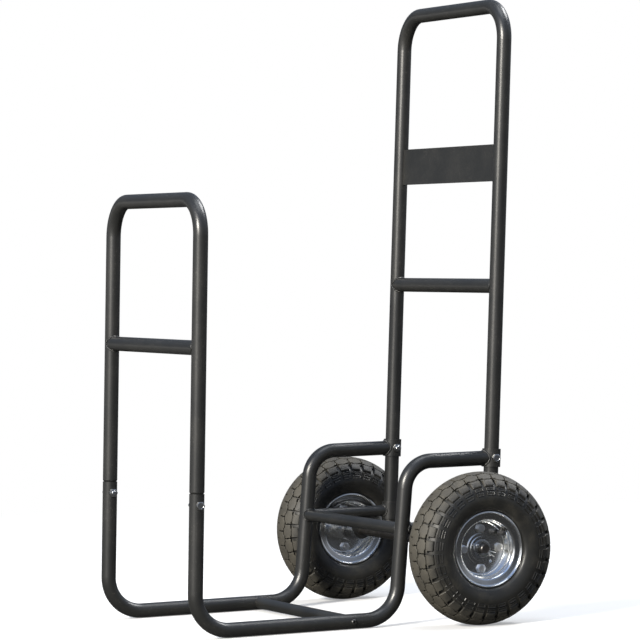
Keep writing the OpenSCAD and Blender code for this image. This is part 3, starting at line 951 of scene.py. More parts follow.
@dataclass(frozen=True)
class Tyre:
    """Pneumatic tyre with three rows of blocks and two of ribs on each half.

    Attributes:
        pitches: Blocks round the tyre.
        section_c: Wheel radius of the section's middle.
        section_r: Radius of the section over the blocks.
        floors: The skin's radius between the blocks, by the angle from the crown.
        chamber_c: Wheel radius of the air chamber's middle.
        chamber_r: Radius of the air chamber's section.
        chamber_angles: Places of its points, from the bead to the crown.
        stops: Places of the rings of points in each pitch.
        stations: Lines round the outside, from the crown to the bead.
        bead: The bead, from the wall to the air chamber.
        rows: What stands on the skin; the other half has them half a pitch further on.
        edges: Widths of the steps that round a relief's top edge off, from its side inwards.
        wave_gain: How steep the wavy grooves are between their flat tops.
        edge_drop: How much lower the side's top is than the middle, for the edge's width.
        inset_lift: How far a step is lifted before it is put onto its circle.
        rib_frame: Width of the frame round the sunk panel of each rib, and the panel's depth.
        sharp: Edges bent by more than this many degrees stay sharp.
    """

    pitches: int = 30
    section_c: float = 88.0
    section_r: float = 42.5
    floors: tuple[tuple[float, float], ...] = (
        (0.0, 36.5), (42.0, 36.8), (64.0, 40.5), (84.0, 40.7), (88.0, 41.6), (180.0, 41.7),
    )  # fmt: skip
    chamber_c: float = 84.65
    chamber_r: float = 32.85
    chamber_angles: tuple[float, ...] = (147.0, 125.0, 103.0, 81.0, 59.0, 37.0, 15.0)
    stops: tuple[float, ...] = (
        0.0, 0.08, 0.10, 0.15, 0.21, 0.29, 0.36, 0.43,
        0.50, 0.58, 0.60, 0.65, 0.71, 0.79, 0.86, 0.93,
    )  # fmt: skip
    stations: tuple[Station, ...] = (
        Station(0.0), Station(6.5, 0.0, 0.03), Station(13.0, 0.6, -0.02), Station(19.2, 1.7, 0.02),
        Station(21.6, 1.7, 0.02), Station(27.5, 0.6, -0.02), Station(34.0, 0.0, 0.02),
        Station(40.7, -1.4), Station(42.5, -1.4), *map(Station, (
            50.0, 56.5, 62.5, 65.5, 68.5, 71.8, 75.8, 79.5, 83.2, 88.0, 97.0, 106.0, 113.0, 119.0,
        )),
    )  # fmt: skip
    bead: tuple[tuple[float, float], ...] = (
        (66.8, 34.6), (65.8, 30.2), (62.5, 27.4), (60.0, 26.7),
        (52.6, 26.3), (50.8, 24.5), (50.8, 16.5), (54.5, 14.0),
    )  # fmt: skip
    rows: tuple[Row, ...] = (
        Row(Relief.BLOCK, (0, 2), (0.50, 0.08)),
        Row(Relief.BLOCK, (4, 6), (0.0, 0.08)),
        Row(Relief.CUSHION, (8, 10), (0.86, 0.24)),
        Row(Relief.RIB, (12, 13), (0.79, 0.31)),
        Row(Relief.RIB, (15, 16), (0.79, 0.31)),
    )
    edges: tuple[tuple[Relief, tuple[float, ...]], ...] = (
        (Relief.BLOCK, (0.7,)),
        (Relief.CUSHION, (1.1, 0.8, 0.9)),
        (Relief.RIB, (0.35,)),
    )
    wave_gain: float = 4.0
    edge_drop: float = 0.7
    inset_lift: float = 0.1
    rib_frame: tuple[float, float] = (0.6, 0.6)
    sharp: float = 38.0

    def _wave(self, t: float) -> float:
        """Swing of the wavy grooves at t pitches: flat-topped, from -1 to 1."""
        return max(-1.0, min(1.0, self.wave_gain * math.cos(math.tau * t)))

    def _floor(self, angle: float) -> float:
        """Radius of the skin between the blocks, which climbs from the tread to the wall.

        Args:
            angle: Degrees from the crown.

        Returns:
            The radius from the section's middle.
        """
        for (low, start), (high, end) in zip(self.floors, self.floors[1:]):
            if angle <= high:
                break
        return start + (end - start) * (angle - low) / (high - low)

    def _skin(self, half: int, t: float, station: Station) -> tuple[float, float, float]:
        """A station's point.

        Args:
            half: 1 on the outer half of the tyre and -1 on the inner one.
            t: Place in the pitch.
            station: The station.

        Returns:
            Wheel radius, height and lead in pitches.
        """
        swing = self._wave(t if half > 0 else t + 0.5)
        angle = math.radians(station.angle + station.sway * swing)
        x, y = polar(self._floor(station.angle), angle)
        return self.section_c + x, half * y, station.lead

    def _section(self, t: float) -> list[tuple[float, float, float]]:
        """The whole closed section.

        Args:
            t: Place in the pitch.

        Returns:
            Wheel radius, height and lead in pitches of each point.
        """
        outside = {s: [self._skin(s, t, station) for station in self.stations[1:]] for s in (1, -1)}
        chamber = [polar(self.chamber_r, math.radians(angle)) for angle in self.chamber_angles]
        inside = [*self.bead, *((self.chamber_c + x, y) for x, y in chamber)]
        lining = {s: [(r, s * z, 0.0) for r, z in inside] for s in (1, -1)}
        crown = self._skin(1, t, self.stations[0])
        top = (self.chamber_c + self.chamber_r, 0.0, 0.0)
        return [crown, *outside[1], *lining[1], top, *lining[-1][::-1], *outside[-1][::-1]]

    def _rings(self) -> list[list[Vector]]:
        """Lays the tyre's skin out.

        Returns:
            Rings of points, in order round the tyre.
        """
        return [
            [
                around(radius, math.tau * (pitch + t + lead) / self.pitches, height)
                for radius, height, lead in self._section(t)
            ]
            for pitch in range(self.pitches)
            for t in self.stops
        ]

    def _relief_at(self, ring: int, place: int) -> int:
        """Says what stands on a face of the skin.

        Args:
            ring: The ring before the face.
            place: The face's place round the section.

        Returns:
            The relief's number.
        """
        sides = 2 * (len(self.stations) + len(self.bead) + len(self.chamber_angles))
        outer = place < sides / 2
        band = place if outer else sides - 1 - place
        t = self.stops[ring % len(self.stops)] + (0.0 if outer else 0.5)
        for row in self.rows:
            start, length = row.gap
            bare = (t - start + TINY) % 1.0 < length
            if row.bands[0] <= band <= row.bands[1] and not bare:
                return row.relief.value
        return Relief.NONE.value

    def _onto(self, radius: float) -> Callable[[Vector], Vector]:
        """A move onto a circle about the section's middle.

        Args:
            radius: The circle's radius.

        Returns:
            Where a point goes, by where it is.
        """

        def place(point: Vector) -> Vector:
            """Moves a point straight out from the section's middle.

            Args:
                point: Where it is.

            Returns:
                Where it goes.
            """
            r = math.hypot(point.x, point.y)
            across = Vector((r - self.section_c, point.z)).normalized() * radius
            share = (self.section_c + across.x) / r
            return Vector((point.x * share, point.y * share, across.y))

        return place

    def _raise(self, edit: Edit, relief: Relief, edge: tuple[float, ...]) -> None:
        """Extrudes a kind of relief and rounds its top edges off in steps.

        Args:
            edit: The tyre, open.
            relief: The kind.
            edge: Width of each step, from the side inwards.
        """
        layer = edit.mesh.faces.layers.int[MARK]
        edit.choose(Part.FACE, lambda face: face[layer] == relief.value)
        bpy.ops.mesh.extrude_region()
        reach = sum(edge)
        drop = reach * self.edge_drop
        edit.move(self._onto(self.section_r - drop))
        for count in range(1, len(edge) + 1):
            bpy.ops.mesh.inset(thickness=reach / len(edge), depth=self.inset_lift)
            left = 1.0 - sum(edge[:count]) / reach
            edit.move(self._onto(self.section_r - drop * left**2))

    def mould(self, name: str) -> bpy.types.Object:
        """Makes a tyre.

        Args:
            name: The tyre's name.

        Returns:
            The tyre in the wheel's frame, in millimetres.
        """
        tyre = loft(name, self._rings(), mark=self._relief_at)
        width, depth = self.rib_frame
        with Edit(tyre) as edit:
            for relief, edge in self.edges:
                self._raise(edit, relief, edge)
            bpy.ops.mesh.inset(thickness=width, depth=-depth)
            edit.tidy()
        tyre.data.attributes.remove(tyre.data.attributes[MARK])
        return tyre

    def build(self, lines: Lines, finish: bpy.types.Material) -> None:
        """Makes both tyres.

        Args:
            lines: The cart's lines.
            finish: The rubber.
        """
        model = self.mould("tyre_model")
        for side in Side:
            tyre = put(copied(model, f"treaded_tyre_{side.word}"), lines.wheel(side))
            hand_in(tyre, side.wheel, Slot.TYRE, finish, (f"tyre_{side.word}",), self.sharp)
        scrap(model)


# ---------------------------------------------------------------- fasteners


@dataclass(frozen=True)
class Thread:
    """A metric thread cut into a round bar along Z.

    Attributes:
        size: The bar's diameter.
        pitch: Height of a turn.
        sides: Points round a ring.
        rings_a_turn: Rings in a turn.
        depth_a_pitch: Depth of the groove, as a share of the pitch.
    """

    size: float
    pitch: float
    sides: int = 24
    rings_a_turn: int = 6
    depth_a_pitch: float = 0.55

    def shank(self, name: str, top: float, start: float, end: float) -> bpy.types.Object:
        """Makes a bar that is plain at its top and threaded below.

        Args:
            name: The bar's name.
            top: Height of its top.
            start: Height at which the thread starts.
            end: Height of its foot.

        Returns:
            The bar.
        """
        r = self.size / 2
        step = self.pitch / self.rings_a_turn
        depth = self.depth_a_pitch * self.pitch
        heights = [top, start]
        while heights[-1] - step > end + depth:
            heights.append(heights[-1] - step)
        rings = [self._ring(z, r, 0.0 if z >= start else depth) for z in heights]
        rings.append(self._ring(end + depth, r, depth))
        rings.append(self._ring(end, r - depth, 0.0))
        return loft(name, rings, closed=False)

    def _ring(self, z: float, radius: float, depth: float) -> list[Vector]:
        """One ring of the bar, nearer the axis where the groove passes.

        Args:
            z: The ring's height.
            radius: Its radius outside the groove.
            depth: The groove's depth.

        Returns:
            The ring's points.
        """
        ring = []
        for i in range(self.sides):
            phase = (z / self.pitch - i / self.sides) % 1.0
            r = radius - depth * (1.0 - abs(2.0 * phase - 1.0))
            ring.append(around(r, math.tau * i / self.sides, z))
        return ring


@dataclass(frozen=True)
class Hexagon:
    """Hexagon bolts and nuts of one metric size, with their seats at Z = 0.

    Attributes:
        flats: Width across the flats.
        bevel: Slope of the bevel, in degrees.
        face_share: Radius of the flat top, as a share of half the width across the flats.
        dish_r: Radius of the shallow dish in a bolt's head.
        edge: Bevel at both ends of a nut's bore.
        spare: How far the turned blank stands past the corners.
        clear: How far a cutting bar stands past what it cuts.
        shank_in_head: How far the shank reaches into the head.
    """

    thread: Thread = Thread(8.0, 1.25)
    steps: int = 48
    flats: float = 13.0
    head_h: float = 5.28
    nut_h: float = 6.4
    bevel: float = 28.0
    face_share: float = 0.95
    dish_r: float = 4.42
    dish_slope: float = 0.3
    dish_depth: float = 0.35
    edge: float = 0.4
    spare: float = 0.2
    clear: float = 1.0
    shank_in_head: float = 0.8

    @property
    def corner(self) -> float:
        """Radius over the corners."""
        return self.flats / 2 / math.cos(math.pi / 6)

    def _cone(self, height: float) -> Outline:
        """Outer line of a turned blank whose top is bevelled down to the corners.

        Args:
            height: The blank's height.

        Returns:
            The bevel's lower and upper point.
        """
        face = self.flats / 2 * self.face_share
        drop = (self.corner - face) * math.tan(math.radians(self.bevel))
        return [(self.corner + self.spare, height - drop), (face, height)]

    def _cut_flats(self, blank: bpy.types.Object) -> None:
        """Cuts the six flats of a turned blank."""
        carve(blank, prism(self.corner, -self.clear, self.nut_h + self.clear), Cut.KEEP_SHARED)

    def bolt(self, name: str, reach: float, thread: float) -> bpy.types.Object:
        """Makes a bolt.

        Args:
            name: The bolt's name.
            reach: Length below the head.
            thread: Length of its threaded end.

        Returns:
            The bolt, head up.
        """
        height, sunk = self.head_h, self.head_h - self.dish_depth
        outline = [(0.0, 0.0), (self.corner + self.spare, 0.0), *self._cone(height)]
        outline += [(self.dish_r + self.dish_slope, height), (self.dish_r, sunk), (0.0, sunk)]
        head = lathe(name, outline, self.steps)
        self._cut_flats(head)
        shank = self.thread.shank("shank", self.shank_in_head, thread - reach, -reach)
        carve(head, shank, Cut.ADD)
        return head

    def nut(self, name: str) -> bpy.types.Object:
        """Makes a nut.

        Args:
            name: The nut's name.

        Returns:
            The nut, which stands on Z = 0.
        """
        height, edge = self.nut_h, self.edge
        bore = self.thread.size / 2
        rim, face = self._cone(height)
        outline = [(bore + edge, 0.0), (face[0], 0.0), (rim[0], height - rim[1]), rim, face]
        outline += [(bore + edge, height), (bore, height - edge), (bore, edge)]
        nut = lathe(name, outline, self.steps)
        self._cut_flats(nut)
        return nut


@dataclass(frozen=True)
class TubeBolts:
    """Hexagon bolts and nuts that hold the hoop and the handle."""

    hexagon: Hexagon = Hexagon()
    past_nut: float = 3.0
    threaded: float = 20.0

    def build(self, lines: Lines, zinc: bpy.types.Material) -> None:
        """Makes the bolts and nuts of the hoop and of the handle.

        Args:
            lines: The cart's lines.
            zinc: Their plating.
        """
        for name, seat in (("hoop", lines.tube_r), ("handle", lines.sleeve_r)):
            level = spot(f"{name}_bolts")
            under_nut = -seat - self.hexagon.nut_h
            reach = seat - under_nut + self.past_nut
            bolt = self.hexagon.bolt("bolt_model", reach, self.threaded)
            nut = self.hexagon.nut("nut_model")
            for word, model, out in (("bolts", bolt, seat), ("nuts", nut, under_nut)):
                places = [lines.outward(side, out, level) for side in Side]
                pair = group(f"{name}_hex_{word}", model, places)
                hand_in(pair, "frame", Slot.ZINC, zinc, (f"{name}_{word}",))


@dataclass(frozen=True)
class FloorBolts:
    """Button-head bolts with a hexagon socket, through the rails into the floor tube."""

    thread: Thread = Thread(6.0, 1.0)
    head_r: float = 5.1
    crown_r: float = 3.5
    head_h: float = 2.6
    rim_h: float = 0.7
    socket: float = 4.0
    socket_depth: float = 1.7
    reach: float = 41.4
    threaded: float = 20.0
    shank_in_head: float = 0.4
    clear: float = 1.0
    steps: int = 40

    def build(self, lines: Lines, paint: bpy.types.Material) -> None:
        """Makes the two bolts.

        Args:
            lines: The cart's lines.
            paint: Their paint.
        """
        foot, rim = (self.head_r, 0.0, 0.0), (self.head_r, self.rim_h, 0.3)
        crown, top = (self.crown_r, self.head_h, 0.9), (0.0, self.head_h, 0.0)
        dome = rounded([foot, rim, crown, top], 5)
        bolt = lathe("button_model", [(0.0, 0.0), *dome], self.steps)
        corner = self.socket / 2 / math.cos(math.pi / 6)
        carve(bolt, prism(corner, self.head_h - self.socket_depth, self.head_h + self.clear))
        start = self.threaded - self.reach
        shank = self.thread.shank("shank", self.shank_in_head, start, -self.reach)
        carve(bolt, shank, Cut.ADD)
        level = spot("floor_crossbar")
        places = [lines.outward(side, lines.tube_r, level) for side in Side]
        bolts = group("button_bolts", bolt, places)
        hand_in(bolts, "frame", Slot.PAINT, paint, ("floor_crossbar_bolts",))


# ---------------------------------------------------------------- wheels


@dataclass(frozen=True)
class SplitRim:
    """The two pressed halves of each rim, with the bolts and nuts that hold them.

    Attributes:
        line: The middle line of a half: wheel radius, height and reach of the rounding.
        valve_hole: Wheel radii between which the valve's hole is drilled.
        drill: How far the drill goes on both sides of a bolt hole.
        pip: Wheel radius and angle of the small dimple on the outer half.
        pip_line: Its outer line, from its own middle.
    """

    thickness: float = 2.0
    line: tuple[tuple[float, float, float], ...] = (
        (20.5, 1.0, 0.0), (43.3, 1.0, 1.2), (45.6, 2.0, 1.0), (46.4, 4.0, 1.0),
        (47.8, 17.0, 1.6), (49.8, 19.5, 1.2), (49.8, 25.4, 1.4), (52.0, 27.6, 1.2),
        (60.8, 28.2, 1.4), (63.2, 29.6, 1.2), (63.8, 32.6, 0.0),
    )  # fmt: skip
    steps: int = 96
    bolt_circle_r: float = 34.0
    bolt_angles: tuple[int, ...] = (0, 90, 180, 270)
    hole_r: float = 4.2
    valve_angle: float = 38.0
    valve_z: float = 9.0
    valve_hole_r: float = 4.3
    valve_hole: tuple[float, float] = (40.0, 54.0)
    hole_sides: int = 32
    drill: float = 5.0
    pip: tuple[float, float] = (29.0, -51.0)
    pip_line: tuple[tuple[float, float, float], ...] = (
        (2.6, 1.7, 0.0), (1.9, 2.5, 0.4), (0.0, 2.9, 0.0),
    )  # fmt: skip
    pip_steps: int = 24
    hexagon: Hexagon = Hexagon()
    past_nut: float = 2.0
    threaded: float = 10.0

    def _at(self, angle: float) -> Matrix:
        """Place on the bolt circle."""
        return turn(angle) @ shift(self.bolt_circle_r, 0, 0)

    def _half(self, name: str) -> bpy.types.Object:
        """Presses a half and drills its bolt holes.

        Args:
            name: The half's name.

        Returns:
            The half, as it stands on the wheel's outer side.
        """
        half = lathe(name, sheet(rounded(list(self.line)), self.thickness), self.steps)
        for angle in self.bolt_angles:
            drill = prism(self.hole_r, -self.drill, self.drill, self.hole_sides)
            carve(half, moved(drill, self._at(angle)))
        return half

    def _finish_outer(self, half: bpy.types.Object) -> None:
        """Drills the hole for the valve's stem and presses the small dimple.

        Args:
            half: A half that becomes an outer one.
        """
        aim = turn(self.valve_angle) @ shift(0, 0, self.valve_z) @ turn(90, "Y")
        drill = prism(self.valve_hole_r, *self.valve_hole, self.hole_sides)
        carve(half, moved(drill, aim))
        dome = rounded(list(self.pip_line))
        pip = lathe("pip", [(0.0, dome[0][1]), *dome], self.pip_steps)
        radius, angle = self.pip
        carve(half, moved(pip, turn(angle) @ shift(radius, 0, 0)), Cut.ADD)

    def build(self, lines: Lines, rim: bpy.types.Material, zinc: bpy.types.Material) -> None:
        """Makes the halves, bolts and nuts of both wheels.

        Args:
            lines: The cart's lines.
            rim: The plating of the halves.
            zinc: The plating of the bolts and nuts.
        """
        inner = self._half("rim_model")
        outer = copied(inner, "rim_outer_model")
        self._finish_outer(outer)
        nut_h = self.hexagon.nut_h
        reach = 2 * self.thickness + nut_h + self.past_nut
        bolt = self.hexagon.bolt("bolt_model", reach, self.threaded)
        nut = self.hexagon.nut("nut_model")
        for side in Side:
            word, at = side.word, lines.wheel(side)
            mirror = Matrix.Scale(side.value, 4, (0, 1, 0))
            for where, model, place in (("outer", outer, mirror), ("inner", inner, turn(180, "X"))):
                half = put(copied(model, f"pressed_rim_{where}_{word}"), at @ place)
                with Edit(half) as edit:
                    edit.outwards()
                hand_in(half, side.wheel, Slot.RIM, rim, (f"rim_{where}_{word}",))
            for what, model, seat in (
                ("bolts", bolt, self.thickness),
                ("nuts", nut, -self.thickness - nut_h),
            ):
                places = [at @ self._at(angle) @ shift(0, 0, seat) for angle in self.bolt_angles]
                ring = group(f"rim_hex_{what}_{word}", copied(model, "model"), places)
                hand_in(ring, side.wheel, Slot.ZINC, zinc, (f"rim_{what}_{word}",))
        scrap(inner, outer, bolt, nut)


@dataclass(frozen=True)
class ValveCap:
    """Ribbed screw cap on each valve.

    Attributes:
        radius: Distance from the wheel's axis.
        angle: Place round the wheel.
        low: Height of the cap's foot.
        line: (radius, height, whether the ribs pass) of the rings, from the foot up.
    """

    radius: float = 41.4
    angle: float = 38.0
    low: float = 18.0
    line: tuple[tuple[float, float, bool], ...] = (
        (4.2, 0.0, False), (4.5, 0.3, False), (4.5, 1.5, False), (4.4, 1.8, True),
        (4.05, 7.8, True), (3.9, 8.1, False), (3.5, 8.75, False), (2.9, 9.0, False),
    )  # fmt: skip
    ribs: int = 12
    rib_h: float = 0.35

    def _ring(self, radius: float, z: float, ribbed: bool) -> list[Vector]:
        """One ring of the cap, four points to a rib.

        Args:
            radius: The ring's radius over the ribs.
            z: The ring's height.
            ribbed: Whether it dips between the ribs.

        Returns:
            The ring's points.
        """
        count = 4 * self.ribs
        dips = [self.rib_h if ribbed and i % 4 >= 2 else 0.0 for i in range(count)]
        return [around(radius - dip, math.tau * i / count, z) for i, dip in enumerate(dips)]

    def build(self, lines: Lines, finish: bpy.types.Material) -> None:
        """Makes both caps.

        Args:
            lines: The cart's lines.
            finish: Their plastic.
        """
        cap = loft("cap_model", [self._ring(*ring) for ring in self.line], closed=False)
        for side in Side:
            across = turn(side.value * self.angle) @ shift(self.radius, 0, self.low)
            piece = put(copied(cap, f"ribbed_cap_{side.word}"), lines.wheel(side) @ across)
            hand_in(piece, side.wheel, Slot.PLASTIC, finish, (f"valve_cap_{side.word}",))
        scrap(cap)


@dataclass(frozen=True)
class SplitPin:
    """Folded half-round wire through each end of the axle: an eye and two bent legs.

    Attributes:
        head: Half the length of the straight part, which ends in the eye.
        gap: Half the gap between the two wires.
        eye_neck: How far the eye stands off the end of the straight part.
        eye_root: Where the wire bends towards the eye, from that end.
        eye_bend: Reach of that bend along each side.
        leg_root: Where the leg bends out, from the straight part's other end.
        leg_bend: Reach of that bend.
        splay: How far each leg is bent out, in degrees.
        along_axle: Height over the wheel's middle plane.
        turned: How far the pin is turned round the axle, in degrees.
    """

    wire_r: float = 1.5
    head: float = 9.5
    gap: float = 0.03
    eye_r: float = 1.9
    eye_neck: float = 0.6
    eye_angles: tuple[int, ...] = tuple(range(40, 321, 20))
    eye_root: float = 1.0
    eye_bend: float = 1.2
    leg_root: float = 1.5
    leg_bend: float = 2.5
    leg: float = 17.0
    splay: float = 10.0
    along_axle: float = 11.8
    turned: float = -27.0
    sides: int = 10
    sharp: float = 50.0

    def _path(self) -> list[Vector]:
        """Draws the middle of the wire's flat side.

        Returns:
            Its points, from one leg's tip round the eye to the other's.
        """
        root = self.head - self.leg_root
        x, y = polar(self.leg, math.radians(self.splay))
        tip, knee = (root + x, self.gap + y, 0.0), (root, self.gap, self.leg_bend)
        upper = [tip, knee, (self.eye_root - self.head, self.gap, self.eye_bend)]
        middle = -self.head - self.eye_r - self.eye_neck
        round_eye = [polar(self.eye_r, math.radians(angle)) for angle in self.eye_angles]
        eye = [(middle + x, y, 0.0) for x, y in round_eye]
        lower = [(x, -y, reach) for x, y, reach in reversed(upper)]
        return [Vector((x, y, 0.0)) for x, y in rounded([*upper, *eye, *lower], 5)]

    def _wire(self, name: str) -> bpy.types.Object:
        """Sweeps the half-round section along the path.

        Args:
            name: The wire's name.

        Returns:
            The folded wire.
        """
        path = self._path()
        rings = []
        arc = [math.pi * i / (self.sides - 1) - math.pi / 2 for i in range(self.sides)]
        half_round = [polar(self.wire_r, t) for t in arc]
        for i, point in enumerate(path):
            along = (path[min(i + 1, len(path) - 1)] - path[max(i - 1, 0)]).normalized()
            out = Vector((along.y, -along.x, 0.0))
            rings.append([point + out * x + Vector((0, 0, y)) for x, y in half_round])
        return loft(name, rings, closed=False)

    def build(self, lines: Lines, zinc: bpy.types.Material) -> None:
        """Makes both pins.

        Args:
            lines: The cart's lines.
            zinc: Their plating.
        """
        places = [
            lines.wheel(side) @ turn(side.value * self.turned) @ shift(0, 0, self.along_axle)
            for side in Side
        ]
        pins = group("split_pins", self._wire("pin_model"), places)
        hand_in(pins, "frame", Slot.ZINC, zinc, ("cotter_pins",), self.sharp)


@dataclass(frozen=True)
class Washers:
    """Rolled-edge washers on both sides of each wheel."""

    outer_r: float = 15.5
    inner_r: float = 8.2
    thickness: float = 2.5
    heights: tuple[float, float] = (7.1, -38.6)
    edge: float = 0.5
    rolled: float = 0.8
    steps: int = 72

    def build(self, lines: Lines, zinc: bpy.types.Material) -> None:
        """Makes the four washers.

        Args:
            lines: The cart's lines.
            zinc: Their plating.
        """
        r0, r1, t, e = self.inner_r, self.outer_r, self.thickness, self.edge
        start = (r0, t / 2, 0.0)
        corners = [start, (r0, t, e), (r1, t, self.rolled), (r1, 0.0, e), (r0, 0.0, e), start]
        washer = lathe("washer_model", rounded(corners, 3)[:-1], self.steps)
        places = [lines.wheel(side) @ shift(0, 0, z) for side in Side for z in self.heights]
        washers = group("rolled_washers", washer, places)
        hand_in(washers, "frame", Slot.ZINC, zinc, ("axle_washers",))


# ---------------------------------------------------------------- welds


@dataclass(frozen=True)
class Seam:
    """The line where the end of a bar meets a round post.

    Attributes:
        start: A point on the bar's axis, before the post.
        along: Direction from there to the post.
        reach: Half width and half height of the bar; they are the same on a tube.
        post: A point on the post's axis.
        post_axis: The post's direction.
        post_r: The post's radius.
    """

    start: Vector
    along: Vector
    reach: tuple[float, float]
    post: Vector
    post_axis: Vector
    post_r: float

    def line(self, count: int) -> tuple[list[Vector], list[Vector]]:
        """Walks round the seam.

        Args:
            count: How many points are wanted.

        Returns:
            The points, and the way out of the bar's side at each.
        """
        along = self.along.normalized()
        axis = self.post_axis.normalized()
        side = axis.cross(along).normalized()
        points, outs = [], []
        for i in range(count):
            u, v = self._outline(math.tau * i / count)
            point = self.start + side * u + axis * v
            points.append(self._met(point, along, axis))
            outs.append((side * u + axis * v).normalized())
        return points, outs

    def _outline(self, a: float) -> tuple[float, float]:
        """Point of the bar's outline: a circle, or a slot shape with round ends."""
        w, h = self.reach
        return w * math.cos(a), w * math.sin(a) + math.copysign(h - w, math.sin(a))

    def _met(self, point: Vector, along: Vector, axis: Vector) -> Vector:
        """Where a line meets the post.

        Args:
            point: A point on the line.
            along: The line's direction.
            axis: The post's direction.

        Returns:
            The first point on the post's surface.
        """
        offset = point - self.post
        flat = offset - axis * offset.dot(axis)
        way = along - axis * along.dot(axis)
        a, b, c = way.dot(way), flat.dot(way), flat.dot(flat) - self.post_r**2
        return point + along * (-b - math.sqrt(max(b * b - a * c, 0.0))) / a


@dataclass(frozen=True)
class Welds:
    """Painted weld beads at the frame's joints, rippled as they were laid.

    Attributes:
        ripple: Swell of a ripple, as a share of the bead.
        ripple_every: Length of a ripple.
        wander: Swell of the bead's slower change, as a share of the bead.
        wander_waves: How often that change comes round the bead.
        stand_off: How far the bead's middle stands off the bar and the post, likewise.
        rough_points: Points with which a seam's length is measured.
        run_up: Where a rail's seam is looked from, before the post.
        plate: Half thickness and half height of the handle's plate.
        lug: Half thickness and half width of an axle lug.
    """

    bead_r: float = 1.7
    ripple: float = 0.13
    ripple_every: float = 1.7
    wander: float = 0.10
    stand_off: float = 0.15
    sides: int = 8
    rings_a_ripple: int = 4
    wander_waves: float = 3.0
    rough_points: int = 120
    run_up: float = 40.0
    plate: tuple[float, float] = (1.5, 31.5)
    lug: tuple[float, float] = (2.5, 29.0)
    sharp: float = 60.0

    def _bead(self, name: str, seam: Seam) -> bpy.types.Object:
        """Lays one closed bead.

        Args:
            name: The bead's name.
            seam: Where it lies.

        Returns:
            The bead.
        """
        rough = seam.line(self.rough_points)[0]
        length = sum((b - a).length for a, b in zip(rough, rough[1:] + rough[:1]))
        count = round(length / self.ripple_every) * self.rings_a_ripple
        along = seam.along.normalized()
        circle = [polar(1.0, math.tau * k / self.sides) for k in range(self.sides)]
        section = [(x + self.stand_off, y - self.stand_off) for x, y in circle]
        rings = []
        for i, (point, out) in enumerate(zip(*seam.line(count))):
            phase = (i % self.rings_a_ripple) / self.rings_a_ripple
            swell = 1.0 + self.ripple * (1.0 - 2.0 * abs(2.0 * phase - 1.0))
            swell += self.wander * math.sin(self.wander_waves * math.tau * i / count + length)
            r = self.bead_r * swell
            rings.append([point + out * r * x + along * r * y for x, y in section])
        return loft(name, rings)

    @staticmethod
    def _tube_ends(lines: Lines, node: str, reach: tuple[float, float], lean: float) -> list[Seam]:
        """Both ends of a cross tube or plate between two leaning uprights.

        Args:
            lines: The cart's lines.
            node: The cross tube or plate.
            reach: Its half width and half height.
            lean: How far the uprights lean, in degrees.

        Returns:
            The two seams.
        """
        at, post = spot(node), (lines.upward(lean), lines.tube_r)
        return [
            Seam(at, Vector((side.value, 0, 0)), reach, lines.beside(side, 0.0, at), *post)
            for side in Side
        ]

    def _cradle_side(self, lines: Lines, side: Side) -> list[Seam]:
        """One side's rail and stay on their sleeves, its stay on the upright, and its lug.

        Args:
            lines: The cart's lines.
            side: The side.

        Returns:
            The four seams.
        """
        back, up = Vector((0.0, 1.0, 0.0)), Vector((0.0, 0.0, 1.0))
        thin, full = (lines.thin_r, lines.thin_r), (lines.tube_r, lines.tube_r)
        bar = spot("rear_crossbar")
        rail, stay, lug = (
            spot(f"{node}_{side.word}") for node in ("rail_sleeve", "stay_sleeve", "axle_lug")
        )
        sleeve = (lines.upward(lines.handle_lean), lines.sleeve_r)
        upright = (lines.upward(lines.rear_lean), lines.tube_r)
        middle = lines.beside(side, 0.0, Vector((0.0, (bar.y + stay.y) / 2, stay.z)))
        over_lug = lines.beside(side, 0.0, Vector((0.0, lug.y, stay.z)))
        return [
            Seam(rail - back * self.run_up, back, full, rail, *sleeve),
            Seam(middle, back, thin, stay, *sleeve),
            Seam(middle, -back, thin, lines.beside(side, 0.0, bar), *upright),
            Seam(lines.beside(side, 0.0, lug), up, self.lug, over_lug, back, lines.thin_r),
        ]

    def build(self, lines: Lines, paint: bpy.types.Material) -> None:
        """Lays the beads of the hoop, the handle and the cradle.

        Args:
            lines: The cart's lines.
            paint: The frame's paint.
        """
        cross, thin = (lines.cross_r, lines.cross_r), (lines.thin_r, lines.thin_r)
        hoop = self._tube_ends(lines, "hoop_crossbar", cross, lines.hoop_lean)
        handle = self._tube_ends(lines, "handle_crossbar", cross, lines.handle_lean)
        handle += self._tube_ends(lines, "handle_plate", self.plate, lines.handle_lean)
        cradle = self._tube_ends(lines, "rear_crossbar", thin, lines.rear_lean)
        for side in Side:
            cradle += self._cradle_side(lines, side)
        for name, seams in (
            ("hoop_welds", hoop),
            ("handle_welds", handle),
            ("cradle_welds", cradle),
        ):
            beads = [
                put(self._bead(f"{name}_{i}", seam), Matrix.Identity(4))
                for i, seam in enumerate(seams)
            ]
            pick(*beads)
            bpy.ops.object.join()
            hand_in(named(name), "frame", Slot.PAINT, paint, (), self.sharp)


# ---------------------------------------------------------------- studio


